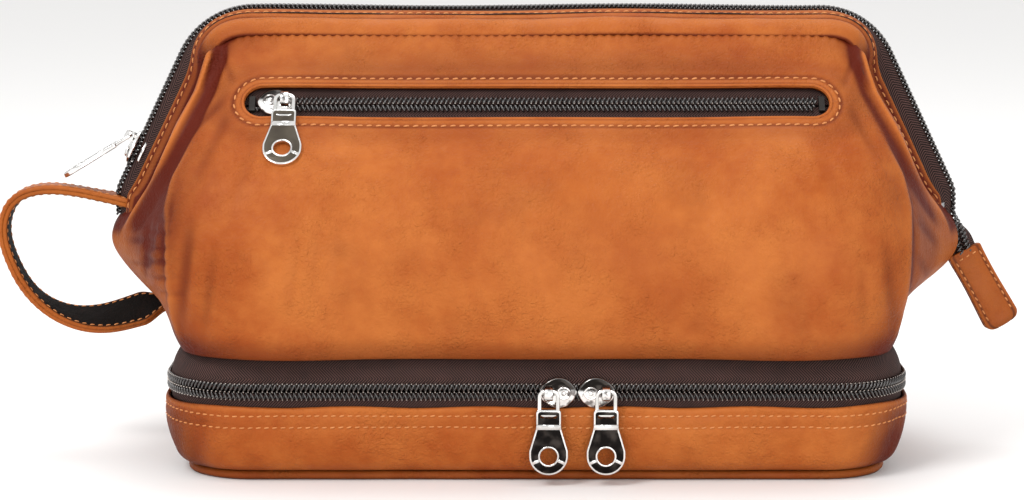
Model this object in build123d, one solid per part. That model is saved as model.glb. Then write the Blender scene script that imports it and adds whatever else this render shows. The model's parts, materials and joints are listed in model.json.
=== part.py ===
# A leather toiletry bag with a sprung-open mouth and a zipped bottom compartment.
#
# The bag stands on a shallow base box. A zip runs round the front and both ends of the base, and a leather
# strip along the back is the hinge that the upper body tips back on. The upper body is two leather panels,
# front and back, that meet at a seam on each end. Two steel frame strips in leather sleeves stiffen the mouth
# and turn on a rivet at each end seam. A zip closes the mouth over the top, a short zip closes the pocket in
# the front panel, a strap loops out of the left end, and the mouth zip ends in a leather tab on the right.
#
# +Z is up, -Y is the front and +X is to the right when the front is looked at. The origin is on the ground
# under the middle of the base. All sizes are millimetres.

import math
import os

from build123d import *

# Overall sizes
base_length = 260.0
base_depth = 124.0
base_corner = 32.0
base_wall_height = 27.5
base_foot_inset = 9.0
smallest_corner = 1.0
body_floor = 44.0
body_height = 106.5
mouth_height = 160.4

# The base wall from its foot to its top: share of the foot's inset, and share of the height
wall_profile = ((1.0, 0.0), (0.45, 0.16), (0.12, 0.5), (0.0, 1.0))

# Room that cutting shapes have past the pieces that they cut, and how near a corner counts as on a line
cut_spare = 1.0
far_off = 1000.0
near = 0.5

# Leather, cloth and board
leather = 1.8
cloth = 0.6
board = 2.0
gap = 0.3
welt_radius = 1.6

# Zip tape and teeth
tape = 0.6
coil_width = 2.4
coil_height = 2.0
coil_gap = 1.2
mouth_tape_width = 8.0
base_zip_height = 32.6
base_zip_inset = 2.6
base_zip_end = 44.0
base_tape_turn = 3.4
stop_length = 3.0
stop_overhang = 0.5

# Upper body: height, front corner, end seam and front bulge of each section, measured from the base's outline
# The end seams cover the frame's feet, so the three flares beside the feet follow the pivots.
pivot_height = 88.0
pivot_overhang = 20.0
pivot_half_span = base_length / 2 + pivot_overhang
feet_covers = (4.0, 1.0, -7.0)
feet_flares = tuple(pivot_overhang + cover for cover in feet_covers)
section_heights = (0.0, 8.0, 18.0, 32.0, 40.0, 62.0, 74.0, 100.0, body_height)
corner_insets = (9.0, 6.0, 3.0, 1.0, 1.0, 6.0, 10.0, 20.0, 24.0)
seam_flares = (-1.0, 5.0, 13.0, *feet_flares, 8.0, -1.0, -5.0)
front_bulges = (-2.0, 2.5, 5.0, 6.0, 5.0, -4.5, -13.0, -35.0, -46.5)
wing_section = 3
facet_sections = (6, 7)
panel_corner = 16.0
corner_share = 0.6
seam_round = 9.0

# Mouth outline, frame and sleeves
mouth_corner_inset = 11.0
mouth_corner = 27.0
mouth_knee = 8.0
strip_thickness = 1.4
strip_width = 5.0
strip_drop = 2.2
lug_radius = 3.6
sleeve_wall = 1.1
sleeve_inner = 5.2
sleeve_width = 8.0
sleeve_height = 10.0
rivet_radius = 1.5
rivet_head_radius = 2.8
rivet_head = 0.9
rivet_fit = 0.05

# Front pocket
pocket_length = 204.0
pocket_window = 13.0
pocket_teeth = 196.0
pocket_stop = 2.0
pocket_tape_width = 10.0
pocket_tape_spare = 6.0
pocket_recess = 3.4
pocket_bag_height = 40.0
pocket_bag_length = 212.0
pocket_bag_room = 2.0
pocket_hem = 2.0

# Slider, link and puller
slider_length = 12.6
slider_nose = 9.4
slider_tail = 7.4
slider_taper = 4.0
slider_corner = 1.2
slider_plate = 1.0
slider_fit = 0.3
slider_neck = 0.8
slider_neck_length = 2.4
slider_neck_back = 0.4
bar_radius = 0.8
bar_back = 3.3
bar_fit = 0.08
bar_rise = 2.0
post_width = 0.9
link_width = 5.4
link_wall = 0.8
link_reach = 6.4
puller_thickness = 1.8
puller_length = 22.4
puller_top = 8.6
puller_end = 13.2
puller_eye = 6.4
puller_ridge = 1.6
puller_ridge_rise = 0.4
puller_neck = 3.0

# Where the sliders stand at rest
base_slider_meet = 13.8
pocket_slider_place = -91.0
mouth_slider_height = 110.0
mouth_pull_droop = 33.0

# Carrying strap on the left end
strap_width = 14.0
strap_ply = 1.5
strap_ply_gap = 0.1
strap_root_slope = 3.0
strap_tongue = 3.5
strap_shoulder = 5.0
strap_top_root = 82.3
strap_low_root = 54.0
strap_reach = 39.5
strap_end_drop = 1.0
strap_end_rise = 0.6
strap_steps = 26
# points of the loop's middle line: distance out from the wing, and height above the nearer end
strap_upper_run = ((7.0, 8.2), (15.0, 13.0), (26.0, 13.7), (35.5, 9.7), (strap_reach, -0.3))
strap_lower_run = ((37.0, 16.0), (30.0, 4.0), (18.0, -4.5), (3.0, -6.0))

# Free tail of the mouth zip on the right end
tail_clear = 3.3
tail_bend = 9.0
tail_length = 19.0
tail_width = 9.0
tail_bare = 2.5
tail_seat = 0.5
tab_cover = 3.0
tab_fit = 0.6
tab_length = 31.0
tab_width = 12.4
tab_leather = 1.5

half_length = base_length / 2
half_depth = base_depth / 2
coil_half = coil_gap / 2 + coil_width
chain_height = tape + coil_height
sleeve_foot = pivot_height + lug_radius + gap
tail_top = sleeve_foot - tail_clear
plate_gap_high = chain_height + slider_fit
bar_height = plate_gap_high + slider_plate + bar_rise

parts = {}


def rounded_plate(half_x, half_y, corner, z, height):
    """A plate with rounded corners standing on height z."""
    return Pos(0, 0, z) * extrude(RectangleRounded(2 * half_x, 2 * half_y, corner), height)


def base_ring(outer_inset, wall, z, height):
    """A wall that follows the base's outline, set in from it."""
    low, tall = z - cut_spare, height + 2 * cut_spare
    inset = outer_inset + wall
    outer = rounded_plate(
        half_length - outer_inset, half_depth - outer_inset, base_corner - outer_inset, z, height
    )
    inner = rounded_plate(half_length - inset, half_depth - inset, base_corner - inset, low, tall)
    return outer - inner


def in_front_of(y):
    """Everything on the front side of a height-wise plane."""
    return Pos(0, y - far_off / 2, 0) * Box(far_off, far_off, far_off)


def flared_outline(inset, z):
    """The base's outline set in by an amount, as a face at height z."""
    return Pos(0, 0, z) * RectangleRounded(
        2 * (half_length - inset), 2 * (half_depth - inset), max(base_corner - inset, smallest_corner)
    )


def wall_loft(shift):
    """The base box's outer form, moved inwards by shift: a rolled foot that widens to the full outline."""
    rise = base_wall_height - welt_radius
    levels = [(base_foot_inset * inset, welt_radius + rise * height) for inset, height in wall_profile]
    return loft([flared_outline(inset + shift, z) for inset, z in levels], ruled=True)


def make_base():
    """Bottom panel, welt, board, wall, lining and the lower half of the base zip."""
    foot = base_foot_inset
    bottom_inset = foot + 2 * welt_radius + gap
    parts["base_bottom_panel"] = rounded_plate(
        half_length - bottom_inset, half_depth - bottom_inset, base_corner - bottom_inset, 0, leather
    )
    welt_line = flared_outline(foot + welt_radius, welt_radius).wire()
    start = welt_line.edges()[0]
    section = Plane(origin=start @ 0, z_dir=start % 0) * Circle(welt_radius)
    parts["base_bottom_welt"] = sweep(section, path=welt_line)

    wall = wall_loft(0) - wall_loft(leather)
    parts["base_wall"] = wall - rounded_plate(half_length, half_depth, base_corner, 0, 2 * welt_radius + gap)

    board_z = leather + gap
    board_inset = foot + 2 * welt_radius + gap
    parts["base_board"] = rounded_plate(
        half_length - board_inset, half_depth - board_inset, base_corner - board_inset, board_z, board
    )
    lining_z = board_z + board + gap
    lining_inset = leather + foot + gap
    lining = rounded_plate(
        half_length - lining_inset,
        half_depth - lining_inset,
        base_corner - lining_inset,
        lining_z,
        base_wall_height - lining_z,
    )
    hollow = rounded_plate(
        half_length - lining_inset - cloth,
        half_depth - lining_inset - cloth,
        base_corner - lining_inset - cloth,
        lining_z + cloth,
        base_wall_height,
    )
    lip = base_ring(leather + gap, lining_inset - leather, base_wall_height - cloth, cloth)
    parts["base_lining"] = (lining - hollow) + lip

    zip_face = base_zip_inset
    tape_low = base_wall_height + gap
    lower_edge = base_zip_height - coil_gap / 2
    lower_tape = base_ring(zip_face, tape, tape_low, lower_edge - tape_low)
    parts["base_lower_tape"] = lower_tape & in_front_of(base_zip_end)
    lower_coil = base_ring(zip_face - coil_height, coil_height, lower_edge - coil_width, coil_width)
    parts["base_lower_coil"] = lower_coil & in_front_of(base_zip_end)

    stop_height = 2 * (coil_half + stop_overhang)
    stop = base_ring(zip_face - coil_height, coil_height, base_zip_height - stop_height / 2, stop_height)
    past_end = in_front_of(base_zip_end + gap + stop_length) - in_front_of(base_zip_end + gap)
    parts["base_zip_stops"] = stop & past_end


def floor_plate(z, thickness):
    """A plate that fits inside the upper body's lowest outline, standing on height z."""
    outline = body_section(0, leather + gap)
    return Pos(0, 0, z - body_floor) * extrude(outline, thickness)


def make_divider():
    """The floor between the two compartments, the upper half of the base zip and the leather hinge strip."""
    board_z = body_floor + cloth + gap
    lining_z = board_z + board + gap
    parts["divider_underside"] = floor_plate(body_floor, cloth)
    parts["divider_board"] = floor_plate(board_z, board)
    parts["divider_floor_lining"] = floor_plate(lining_z, cloth)

    zip_face = base_zip_inset
    upper_edge = base_zip_height + coil_gap / 2
    tape_top = body_floor - gap
    upper_tape = base_ring(zip_face, tape, upper_edge, tape_top - upper_edge)
    turned_in = base_ring(zip_face, base_tape_turn, tape_top - tape, tape)
    parts["base_upper_tape"] = (upper_tape + turned_in) & in_front_of(base_zip_end)
    upper_coil = base_ring(zip_face - coil_height, coil_height, upper_edge, coil_width)
    parts["base_upper_coil"] = upper_coil & in_front_of(base_zip_end)

    strip_length = 2 * (half_length - base_corner)
    strip_z = base_wall_height + gap
    strip_height = body_floor - gap - strip_z
    strip_y = half_depth - zip_face - leather / 2
    strip = Pos(0, strip_y, strip_z + strip_height / 2) * Box(strip_length, leather, strip_height)
    parts["rear_hinge_strip"] = strip


def body_section(index, shift):
    """One level outline of the upper body, moved inwards by shift: six sides, the end seam at its tips."""
    front = half_length - corner_insets[index] - shift
    tip = half_length + seam_flares[index] - shift
    deep = half_depth + front_bulges[index] - shift
    corners = [(-front, -deep), (front, -deep), (tip, 0), (front, deep), (-front, deep), (-tip, 0)]
    outline = make_face(Polyline(*corners, close=True))
    others = outline.vertices().filter_by(lambda v: abs(v.Y) >= near)
    corner_round = min(panel_corner, corner_share * deep)
    rounded = fillet(others, corner_round)
    tips = rounded.vertices().filter_by(lambda v: abs(v.Y) < near)
    rounded = fillet(tips, seam_round)
    return Pos(0, 0, body_floor + section_heights[index]) * rounded


def body_form(shift):
    """The whole upper body as one closed form, moved inwards by shift."""
    return loft([body_section(i, shift) for i in range(len(section_heights))], ruled=True)


def pocket_frame():
    """The plane of the flat facet under the pocket zip: X along the zip, Y up the facet, Z out of it."""
    low, high = facet_sections
    y_low = -(half_depth + front_bulges[low])
    y_high = -(half_depth + front_bulges[high])
    z_low = body_floor + section_heights[low]
    z_high = body_floor + section_heights[high]
    up = Vector(0, y_high - y_low, z_high - z_low).normalized()
    middle = Vector(0, (y_low + y_high) / 2, (z_low + z_high) / 2)
    out = Vector(1, 0, 0).cross(up)
    return Plane(origin=middle, x_dir=(1, 0, 0), z_dir=out)


def mouth_slot():
    """The slit between the two panels above the pivots, which the sleeves fill."""
    half = sleeve_inner + sleeve_width + gap
    low = pivot_height - lug_radius - gap
    return Pos(0, 0, low + far_off / 2) * Box(far_off, 2 * half, far_off)


def make_panels():
    """Front and back leather panels and their linings, with the pocket's window cut through the front."""
    leather_shell = body_form(0) - body_form(leather)
    cloth_shell = body_form(leather + gap) - body_form(leather + gap + cloth)
    lift = body_floor + 2 * cloth + board + 3 * gap
    cloth_shell -= Pos(0, 0, lift - far_off / 2) * Box(far_off, far_off, far_off)
    plane = pocket_frame()
    window = plane * extrude(SlotOverall(pocket_length, pocket_window), 2 * pocket_window, both=True)
    room = pocket_tape_width + leather
    pocket_room = plane * Pos(0, 0, -leather - room) * Box(pocket_bag_length + room, 2 * room, 2 * room)
    front_half = in_front_of(0)
    layers = (("panel", leather_shell, window), ("lining", cloth_shell, pocket_room + window))
    for name, shell, cuts in layers:
        shell = shell - mouth_slot()
        parts["front_" + name] = (shell & front_half) - cuts
        parts["back_" + name] = shell - front_half


def mouth_face(inset):
    """The mouth's outline in the XZ plane, set inwards: two upright feet, sloping legs and a rounded top."""
    foot = pivot_half_span
    top = half_length - mouth_corner_inset
    points = [
        (-foot, 0),
        (-foot, pivot_height + mouth_knee),
        (-top, mouth_height),
        (top, mouth_height),
        (foot, pivot_height + mouth_knee),
        (foot, 0),
    ]
    outline = make_face(Polyline(*points, close=True))
    upper = outline.vertices().filter_by(lambda v: v.Y > mouth_height - near)
    outline = fillet(upper, mouth_corner)
    knees = outline.vertices().filter_by(lambda v: abs(v.Y - pivot_height - mouth_knee) < near)
    outline = fillet(knees, mouth_knee)
    return offset(outline, -inset) if inset else outline


def mouth_band(outer_inset, depth, y_from, y_to, foot):
    """A band along the mouth, from outer_inset inwards by depth, between two Y values and above foot."""
    flat = mouth_face(outer_inset) - mouth_face(outer_inset + depth)
    band = extrude(Plane.XZ.offset(-y_from) * flat, y_from - y_to)
    return band & (Pos(0, 0, foot + far_off / 2) * Box(far_off, far_off, far_off))


def make_frame(name, side):
    """One steel frame strip with its lugs, its leather sleeve and its half of the mouth zip.

    side is -1 for the front one and 1 for the rear one.
    """
    sleeve_outer = sleeve_inner + sleeve_width
    low, high = sorted((side * sleeve_inner, side * sleeve_outer))
    sleeve = mouth_band(0, sleeve_height, low, high, sleeve_foot)
    room = sleeve_height - 2 * sleeve_wall
    sleeve -= mouth_band(sleeve_wall, room, low + sleeve_wall, high - sleeve_wall, sleeve_foot - cut_spare)
    parts[name + "_frame_sleeve"] = sleeve

    # the rear strip lies inside the front one, so that their lugs overlap on the rivets
    inset = strip_drop + (0 if side < 0 else strip_thickness + gap)
    middle = side * (sleeve_inner + sleeve_width / 2)
    near_edge, far_edge = middle - strip_width / 2, middle + strip_width / 2
    strip = mouth_band(inset, strip_thickness, near_edge, far_edge, pivot_height)
    for end in (-1, 1):
        x = end * (pivot_half_span - inset - strip_thickness / 2)
        reach = abs(middle) + strip_width / 2
        arm = Pos(x, side * reach / 2, pivot_height) * Box(strip_thickness, reach, 2 * lug_radius)
        at_pivot = Pos(x, 0, pivot_height) * Rot(0, 90, 0)
        eye = at_pivot * Cylinder(lug_radius, strip_thickness)
        bore = at_pivot * Cylinder(rivet_radius + rivet_fit, 3 * strip_thickness)
        strip = strip + arm + eye - bore
    parts[name + "_frame_strip"] = strip

    inner, outer = sorted((side * coil_gap / 2, side * (coil_gap / 2 + mouth_tape_width)))
    parts["mouth_" + name + "_tape"] = mouth_band(-tape, tape, inner, outer, sleeve_foot)
    inner, outer = sorted((side * coil_gap / 2, side * coil_half))
    parts["mouth_" + name + "_coil"] = mouth_band(-chain_height, coil_height, inner, outer, sleeve_foot)


def make_rivets():
    """The two rivets that both frame strips turn on."""
    stack = 2 * strip_thickness + gap
    rivets = []
    for end in (-1, 1):
        outer_face = pivot_half_span - strip_drop
        x = end * (outer_face - stack / 2)
        at = Pos(x, 0, pivot_height) * Rot(0, 90, 0)
        head_offset = stack / 2 + rivet_fit + rivet_head / 2
        shank = Cylinder(rivet_radius, stack + 2 * rivet_fit)
        heads = [Pos(0, 0, s * head_offset) * Cylinder(rivet_head_radius, rivet_head) for s in (-1, 1)]
        rivets.append(at * (shank + heads[0] + heads[1]))
    parts["frame_rivets"] = Compound(rivets)


def make_pocket():
    """Tapes, teeth, end stops and cloth bag of the pocket behind the front panel's window."""
    plane = pocket_frame()
    face = -pocket_recess
    half = pocket_length / 2 + pocket_tape_spare
    for name, side in (("upper", 1), ("lower", -1)):
        tape_y = side * (coil_gap + pocket_tape_width) / 2
        coil_y = side * (coil_gap + coil_width) / 2
        parts["pocket_" + name + "_tape"] = (
            plane * Pos(0, tape_y, face + tape / 2) * Box(2 * half, pocket_tape_width, tape)
        )
        parts["pocket_" + name + "_coil"] = (
            plane * Pos(0, coil_y, face + tape + coil_height / 2) * Box(pocket_teeth, coil_width, coil_height)
        )
    stop_x = pocket_teeth / 2 + gap + pocket_stop / 2
    stop = Pos(0, 0, face + tape + coil_height / 2) * Box(pocket_stop, 2 * coil_half, coil_height)
    stops = [plane * Pos(s * stop_x, 0, 0) * stop for s in (-1, 1)]
    parts["pocket_zip_stops"] = Compound(stops)

    # an open-topped flat bag that hangs behind the zip, clear of the slider's lower plate
    room = slider_fit + slider_plate + gap
    bag_thickness = 2 * cloth + pocket_bag_room
    bag_middle = face - room - bag_thickness / 2
    bag_top = pocket_tape_width
    body = Box(pocket_bag_length, pocket_bag_height, bag_thickness)
    hollow = Pos(0, cloth, 0) * Box(
        pocket_bag_length - 2 * cloth, pocket_bag_height, bag_thickness - 2 * cloth
    )
    bag = Pos(0, bag_top - pocket_bag_height / 2, bag_middle) * (body - hollow)
    hem_thick = room - gap + cloth
    hem = Box(pocket_bag_length, pocket_hem, hem_thick)
    hem = Pos(0, bag_top - pocket_hem / 2, face - gap - hem_thick / 2) * hem
    parts["pocket_bag"] = plane * (bag + hem)


def slider_solid(across_bar):
    """A zip slider: two plates joined by a neck at the nose, and a bar on two posts. X is the closing way."""
    half = slider_length / 2
    outline = make_face(
        Polyline(
            (-half, -slider_tail / 2),
            (half - slider_taper, -slider_nose / 2),
            (half, -slider_nose / 4),
            (half, slider_nose / 4),
            (half - slider_taper, slider_nose / 2),
            (-half, slider_tail / 2),
            close=True,
        )
    )
    outline = fillet(outline.vertices(), slider_corner)
    lower = Pos(0, 0, -slider_fit - slider_plate) * extrude(outline, slider_plate)
    upper = Pos(0, 0, plate_gap_high) * extrude(outline, slider_plate)
    neck_height = plate_gap_high + slider_fit + slider_plate
    neck = Pos(half - slider_neck_back - slider_neck_length / 2, 0, (plate_gap_high - slider_fit) / 2) * Box(
        slider_neck_length, slider_neck, neck_height
    )
    post_reach = link_width / 2 + gap + post_width / 2
    rise = slider_plate / 2 + bar_rise + bar_radius
    post_middle = plate_gap_high + slider_plate / 2 + rise / 2
    posts = [
        Pos(s * post_reach, 0, post_middle) * Box(post_width, 2 * bar_radius, rise) for s in (-1, 1)
    ]
    bar = Pos(0, 0, bar_height) * Rot(0, 90, 0) * Cylinder(bar_radius, 2 * post_reach)
    bridge = posts[0] + posts[1] + bar
    if across_bar:
        bridge = Rot(0, 0, 90) * bridge
    return lower + upper + neck + Pos(-bar_back, 0, 0) * bridge


def link_solid():
    """A flat strap loop round two bars. The upper bar is on the origin, and the loop hangs towards -Y."""
    inner = bar_radius + bar_fit
    outer = inner + link_wall
    ring = SlotCenterToCenter(link_reach, 2 * outer) - SlotCenterToCenter(link_reach, 2 * inner)
    flat = Plane(origin=(-link_width / 2, -link_reach / 2, 0), x_dir=(0, 1, 0), z_dir=(1, 0, 0)) * ring
    return extrude(flat, link_width)


def puller_solid():
    """A flat puller with a round eye, a raised ridge and a slot for the link. Its bar is on the origin."""
    clear = bar_radius + bar_fit + link_wall + gap
    low_middle = -(puller_length - puller_end / 2 - bar_radius)
    shoulder = -clear - puller_neck
    top_half = puller_top / 2
    outline = make_face(
        Polyline(
            (-top_half, bar_radius),
            (top_half, bar_radius),
            (top_half, shoulder),
            (puller_end / 2, low_middle),
            (-puller_end / 2, low_middle),
            (-top_half, shoulder),
            close=True,
        )
    )
    outline += Pos(0, low_middle) * Circle(puller_end / 2)
    outline -= Pos(0, low_middle) * Circle(puller_eye / 2)
    slot_half = link_width / 2 + gap
    outline -= Pos(0, 0) * Rectangle(2 * slot_half, 2 * clear)
    body = Pos(0, 0, -puller_thickness / 2) * extrude(outline, puller_thickness)
    bar = Rot(0, 90, 0) * Cylinder(bar_radius, (2 * slot_half + puller_top) / 2)
    ridge = Pos(0, shoulder, 0) * Box(puller_top, puller_ridge, puller_thickness + 2 * puller_ridge_rise)
    return body + bar + ridge


def make_pull(name, place, nose, across_bar=False, droop=0):
    """Slider, link and puller at a place on a zip. The pull turns droop degrees up from lying flat.

    The slider's nose points along X of the place where nose is 1, and against it where nose is -1.
    """
    turned = Rot(0, 0, 0) if nose > 0 else Rot(0, 0, 180)
    parts[name + "_slider"] = place * turned * slider_solid(across_bar)
    swivel = Rot(0, 0, 90) if across_bar else Rot(0, 0, 0)
    at_bar = place * Pos(-nose * bar_back, 0, bar_height) * swivel * Rot(-droop, 0, 0)
    parts[name + "_link"] = at_bar * link_solid()
    parts[name + "_puller"] = at_bar * Pos(0, -link_reach, 0) * puller_solid()
    return at_bar


def front_zip_place(x):
    """A place on the base zip's front run: X along it, Y up and Z outwards."""
    y = -(half_depth - base_zip_inset) + tape
    return Plane(origin=(x, y, base_zip_height), x_dir=(1, 0, 0), z_dir=(0, -1, 0)).location


def mouth_leg():
    """The straight left leg of the mouth's outline: its lower end and its unit direction up, in X and Z."""
    foot = (-pivot_half_span, pivot_height + mouth_knee)
    top = (-(half_length - mouth_corner_inset), mouth_height)
    run = (top[0] - foot[0], top[1] - foot[1])
    length = math.hypot(*run)
    return foot, (run[0] / length, run[1] / length)


def mouth_slider_place():
    """Where the mouth slider stands on the left leg: its nose points down the leg, away from the top."""
    foot, up = mouth_leg()
    along = (mouth_slider_height - foot[1]) / up[1]
    x = foot[0] + up[0] * along
    origin = (x, 0, mouth_slider_height)
    outward = (-up[1], 0, up[0])
    return Plane(origin=origin, x_dir=(-up[0], 0, -up[1]), z_dir=outward).location


def make_pulls():
    """All four sliders with their links and pullers."""
    half = slider_length / 2
    bars = {
        "base_left": make_pull("base_left", front_zip_place(base_slider_meet - half - gap), 1),
        "base_right": make_pull("base_right", front_zip_place(base_slider_meet + half + gap), -1),
    }
    plane = pocket_frame()
    bars["pocket"] = make_pull("pocket", plane.location * Pos(pocket_slider_place, 0, -pocket_recess), -1)
    bars["mouth"] = make_pull("mouth", mouth_slider_place(), 1, True, mouth_pull_droop)
    for name, bar in bars.items():
        low = (bar * Pos(0, -link_reach, 0)).position
        places = [tuple(round(v, 3) for v in place) for place in (bar.position, low)]
        print(f"{name} bar {places[0]} pull {places[1]}")


def seam_tip(z):
    """How far out the end seam stands from the middle at a height, between two sections."""
    for i in range(len(section_heights) - 1):
        low, high = body_floor + section_heights[i], body_floor + section_heights[i + 1]
        if low <= z <= high:
            share = (z - low) / (high - low)
            return half_length + seam_flares[i] + share * (seam_flares[i + 1] - seam_flares[i])
    raise ValueError(f"no section at height {z}")


def strap_roots():
    """The middles of the strap's two rounded ends, in X and Z, just outside the left end seam."""
    roots = []
    for z in (strap_top_root, strap_low_root):
        widest = max(seam_tip(z - strap_root_slope), seam_tip(z + strap_root_slope))
        roots.append((-widest - gap - strap_tongue, z))
    return roots


def strap_route():
    """The strap's middle line in X and Z, from inside its upper end round to inside its lower end."""
    (top_x, top_z), (low_x, low_z) = strap_roots()
    wing = half_length + seam_flares[wing_section]
    upper = [(-wing - out, top_z + rise) for out, rise in strap_upper_run]
    lower = [(-wing - out, low_z + rise) for out, rise in strap_lower_run]
    return Spline(
        (top_x + strap_tongue, top_z - strap_end_drop),
        (top_x, top_z),
        *upper,
        *lower,
        (low_x, low_z),
        (low_x + strap_tongue, low_z + strap_end_rise),
    )


def strap_band(inner, outer):
    """A band between two distances from the strap's middle line, positive on the loop's hollow side."""
    route = strap_route()
    sides = []
    for distance in (inner, outer):
        line = []
        for i in range(strap_steps + 1):
            point = route @ (i / strap_steps)
            way = (route % (i / strap_steps)).normalized()
            line.append((point.X - distance * way.Y, point.Y + distance * way.X))
        sides.append(Spline(*line))
    low, high = sides
    flat = make_face([low, high, Line(low @ 0, high @ 0), Line(low @ 1, high @ 1)])
    return extrude(Plane.XZ.offset(-strap_width / 2) * flat, strap_width)


def strap_keep():
    """The strap's outline seen along its swing axis: two rounded tongues at the axis that widen outwards."""
    (top_x, top_z), (low_x, low_z) = strap_roots()
    half = strap_width / 2
    reach = 2 * strap_reach
    outline = make_face(
        Polyline(
            (0, -strap_tongue),
            (strap_shoulder, -half),
            (reach, -half),
            (reach, half),
            (strap_shoulder, half),
            (0, strap_tongue),
            close=True,
        )
    )
    outline += Circle(strap_tongue)
    axis = Vector(top_x - low_x, 0, top_z - low_z).normalized()
    outward = Vector(-axis.Z, 0, axis.X)
    middle = ((top_x + low_x) / 2, 0, (top_z + low_z) / 2)
    return extrude(Plane(origin=middle, x_dir=outward, z_dir=axis) * outline, reach, both=True)


def make_strap():
    """The carrying strap on the left end, in two plies. The one named outer lies on the loop's hollow side."""
    near, far = strap_ply_gap / 2, strap_ply_gap / 2 + strap_ply
    keep = strap_keep()
    parts["strap_outer_ply"] = strap_band(near, far) & keep
    parts["strap_inner_ply"] = strap_band(-far, -near) & keep
    print("strap roots", [(round(x, 3), round(z, 3)) for x, z in strap_roots()])


def make_tail():
    """The free end of the mouth zip on the right, and the leather tab folded over it."""
    wing, above = wing_section, wing_section + 1
    run = (seam_flares[wing] - seam_flares[above], section_heights[above] - section_heights[wing])
    length = math.hypot(*run)
    droop = math.degrees(math.atan2(run[1], run[0]))
    out = tail_seat + tape / 2
    tip_z = body_floor + section_heights[above]
    x = half_length + seam_flares[above] + out * run[1] / length
    z = tip_z + out * run[0] / length
    rise = tail_top - z
    at = Pos(x - rise * run[0] / run[1], 0, tail_top) * Rot(0, droop, 0)
    parts["tail_tape"] = at * Pos(tail_length / 2, 0, 0) * Box(tail_length, tail_width, tape)
    teeth_length = tail_length - tail_bare - tab_cover - tab_fit
    rows = [
        at
        * Pos(tail_bare + teeth_length / 2, s * (coil_gap + coil_width) / 2, (tape + coil_height) / 2)
        * Box(teeth_length, coil_width, coil_height)
        for s in (-1, 1)
    ]
    parts["tail_coil"] = Compound(rows)
    slit = tape + 2 * tab_fit
    tab = Box(tab_length, tab_width, slit + 2 * tab_leather)
    pouch = Pos(-tab_leather, 0, 0) * Box(tab_length, tab_width - 2 * tab_leather, slit)
    start = at * Pos(tail_length - tab_cover, 0, 0) * Rot(0, -tail_bend, 0)
    parts["zip_end_tab"] = start * Pos(tab_length / 2, 0, 0) * (tab - pouch)
    print("tail hinge", tuple(round(v, 3) for v in at.position))


def main():
    """Make every piece and write each one to its own STEP file."""
    make_base()
    make_divider()
    make_panels()
    make_frame("front", -1)
    make_frame("rear", 1)
    make_rivets()
    make_pocket()
    make_pulls()
    make_strap()
    make_tail()
    os.makedirs("parts", exist_ok=True)
    for name, solid in parts.items():
        solid.label = name
        export_step(solid, f"parts/{name}.step")


main()
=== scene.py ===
"""Looks of a leather toiletry bag with a framed mouth, a front pocket and a zipped base compartment.

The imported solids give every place. The leather, cloth, teeth, stitches and metal are worked out here, in
millimetres, and ride the bodies of the pack, so that the bag opens, folds and swings with them.
"""

import json
import logging
import math
from dataclasses import dataclass, field
from enum import Enum
from typing import Any, Sequence

import bmesh
import bpy
import numpy as np
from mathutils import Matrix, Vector

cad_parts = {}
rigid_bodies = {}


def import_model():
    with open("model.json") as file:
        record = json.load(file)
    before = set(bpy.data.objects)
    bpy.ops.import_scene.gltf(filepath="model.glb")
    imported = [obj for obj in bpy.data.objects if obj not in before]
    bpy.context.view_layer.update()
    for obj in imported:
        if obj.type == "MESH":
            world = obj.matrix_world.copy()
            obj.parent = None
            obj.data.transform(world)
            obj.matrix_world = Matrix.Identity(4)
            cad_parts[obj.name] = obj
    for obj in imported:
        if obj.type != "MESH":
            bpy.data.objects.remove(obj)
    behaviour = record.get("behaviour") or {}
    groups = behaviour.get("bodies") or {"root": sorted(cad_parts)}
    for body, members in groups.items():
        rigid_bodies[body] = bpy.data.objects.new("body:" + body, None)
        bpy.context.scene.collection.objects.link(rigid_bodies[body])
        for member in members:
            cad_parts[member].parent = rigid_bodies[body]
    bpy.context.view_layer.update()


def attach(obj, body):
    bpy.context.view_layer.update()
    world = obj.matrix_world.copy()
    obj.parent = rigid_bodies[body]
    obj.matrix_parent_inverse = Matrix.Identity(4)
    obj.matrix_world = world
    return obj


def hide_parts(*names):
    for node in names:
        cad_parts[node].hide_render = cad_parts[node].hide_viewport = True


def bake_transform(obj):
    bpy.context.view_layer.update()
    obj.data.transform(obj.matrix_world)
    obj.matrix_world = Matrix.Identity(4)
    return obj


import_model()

log = logging.getLogger("bag")

MM = 0.001
Array = np.ndarray
Spot = tuple[float, float, float]
ACROSS: Spot = (1.0, 0.0, 0.0)
UPRIGHT: Spot = (0.0, 0.0, 1.0)
BACK: Spot = (0.0, -1.0, 0.0)
rng = np.random.default_rng(20)


def unit(vectors: Array) -> Array:
    """Vectors along the last axis, each divided by its length."""
    return vectors / np.maximum(np.linalg.norm(vectors, axis=-1, keepdims=True), 1e-9)


def clamp(value: Array) -> Array:
    """The values, held between 0 and 1."""
    return np.clip(value, 0.0, 1.0)


def ease(low: float, high: float, value: Array) -> Array:
    """0 below low and 1 above high, with 3t^2 - 2t^3 between them."""
    t = clamp((value - low) / (high - low))
    return t * t * (3.0 - 2.0 * t)


def mixed(first: Array, second: Array, share: Array) -> Array:
    """first * (1 - share) + second * share."""
    return first * (1.0 - share) + second * share


def hump(centre: float, width: float, value: Array) -> Array:
    """exp(-((value - centre) / width)^2), a soft hump of height 1."""
    return np.exp(-(((value - centre) / width) ** 2))


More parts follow.
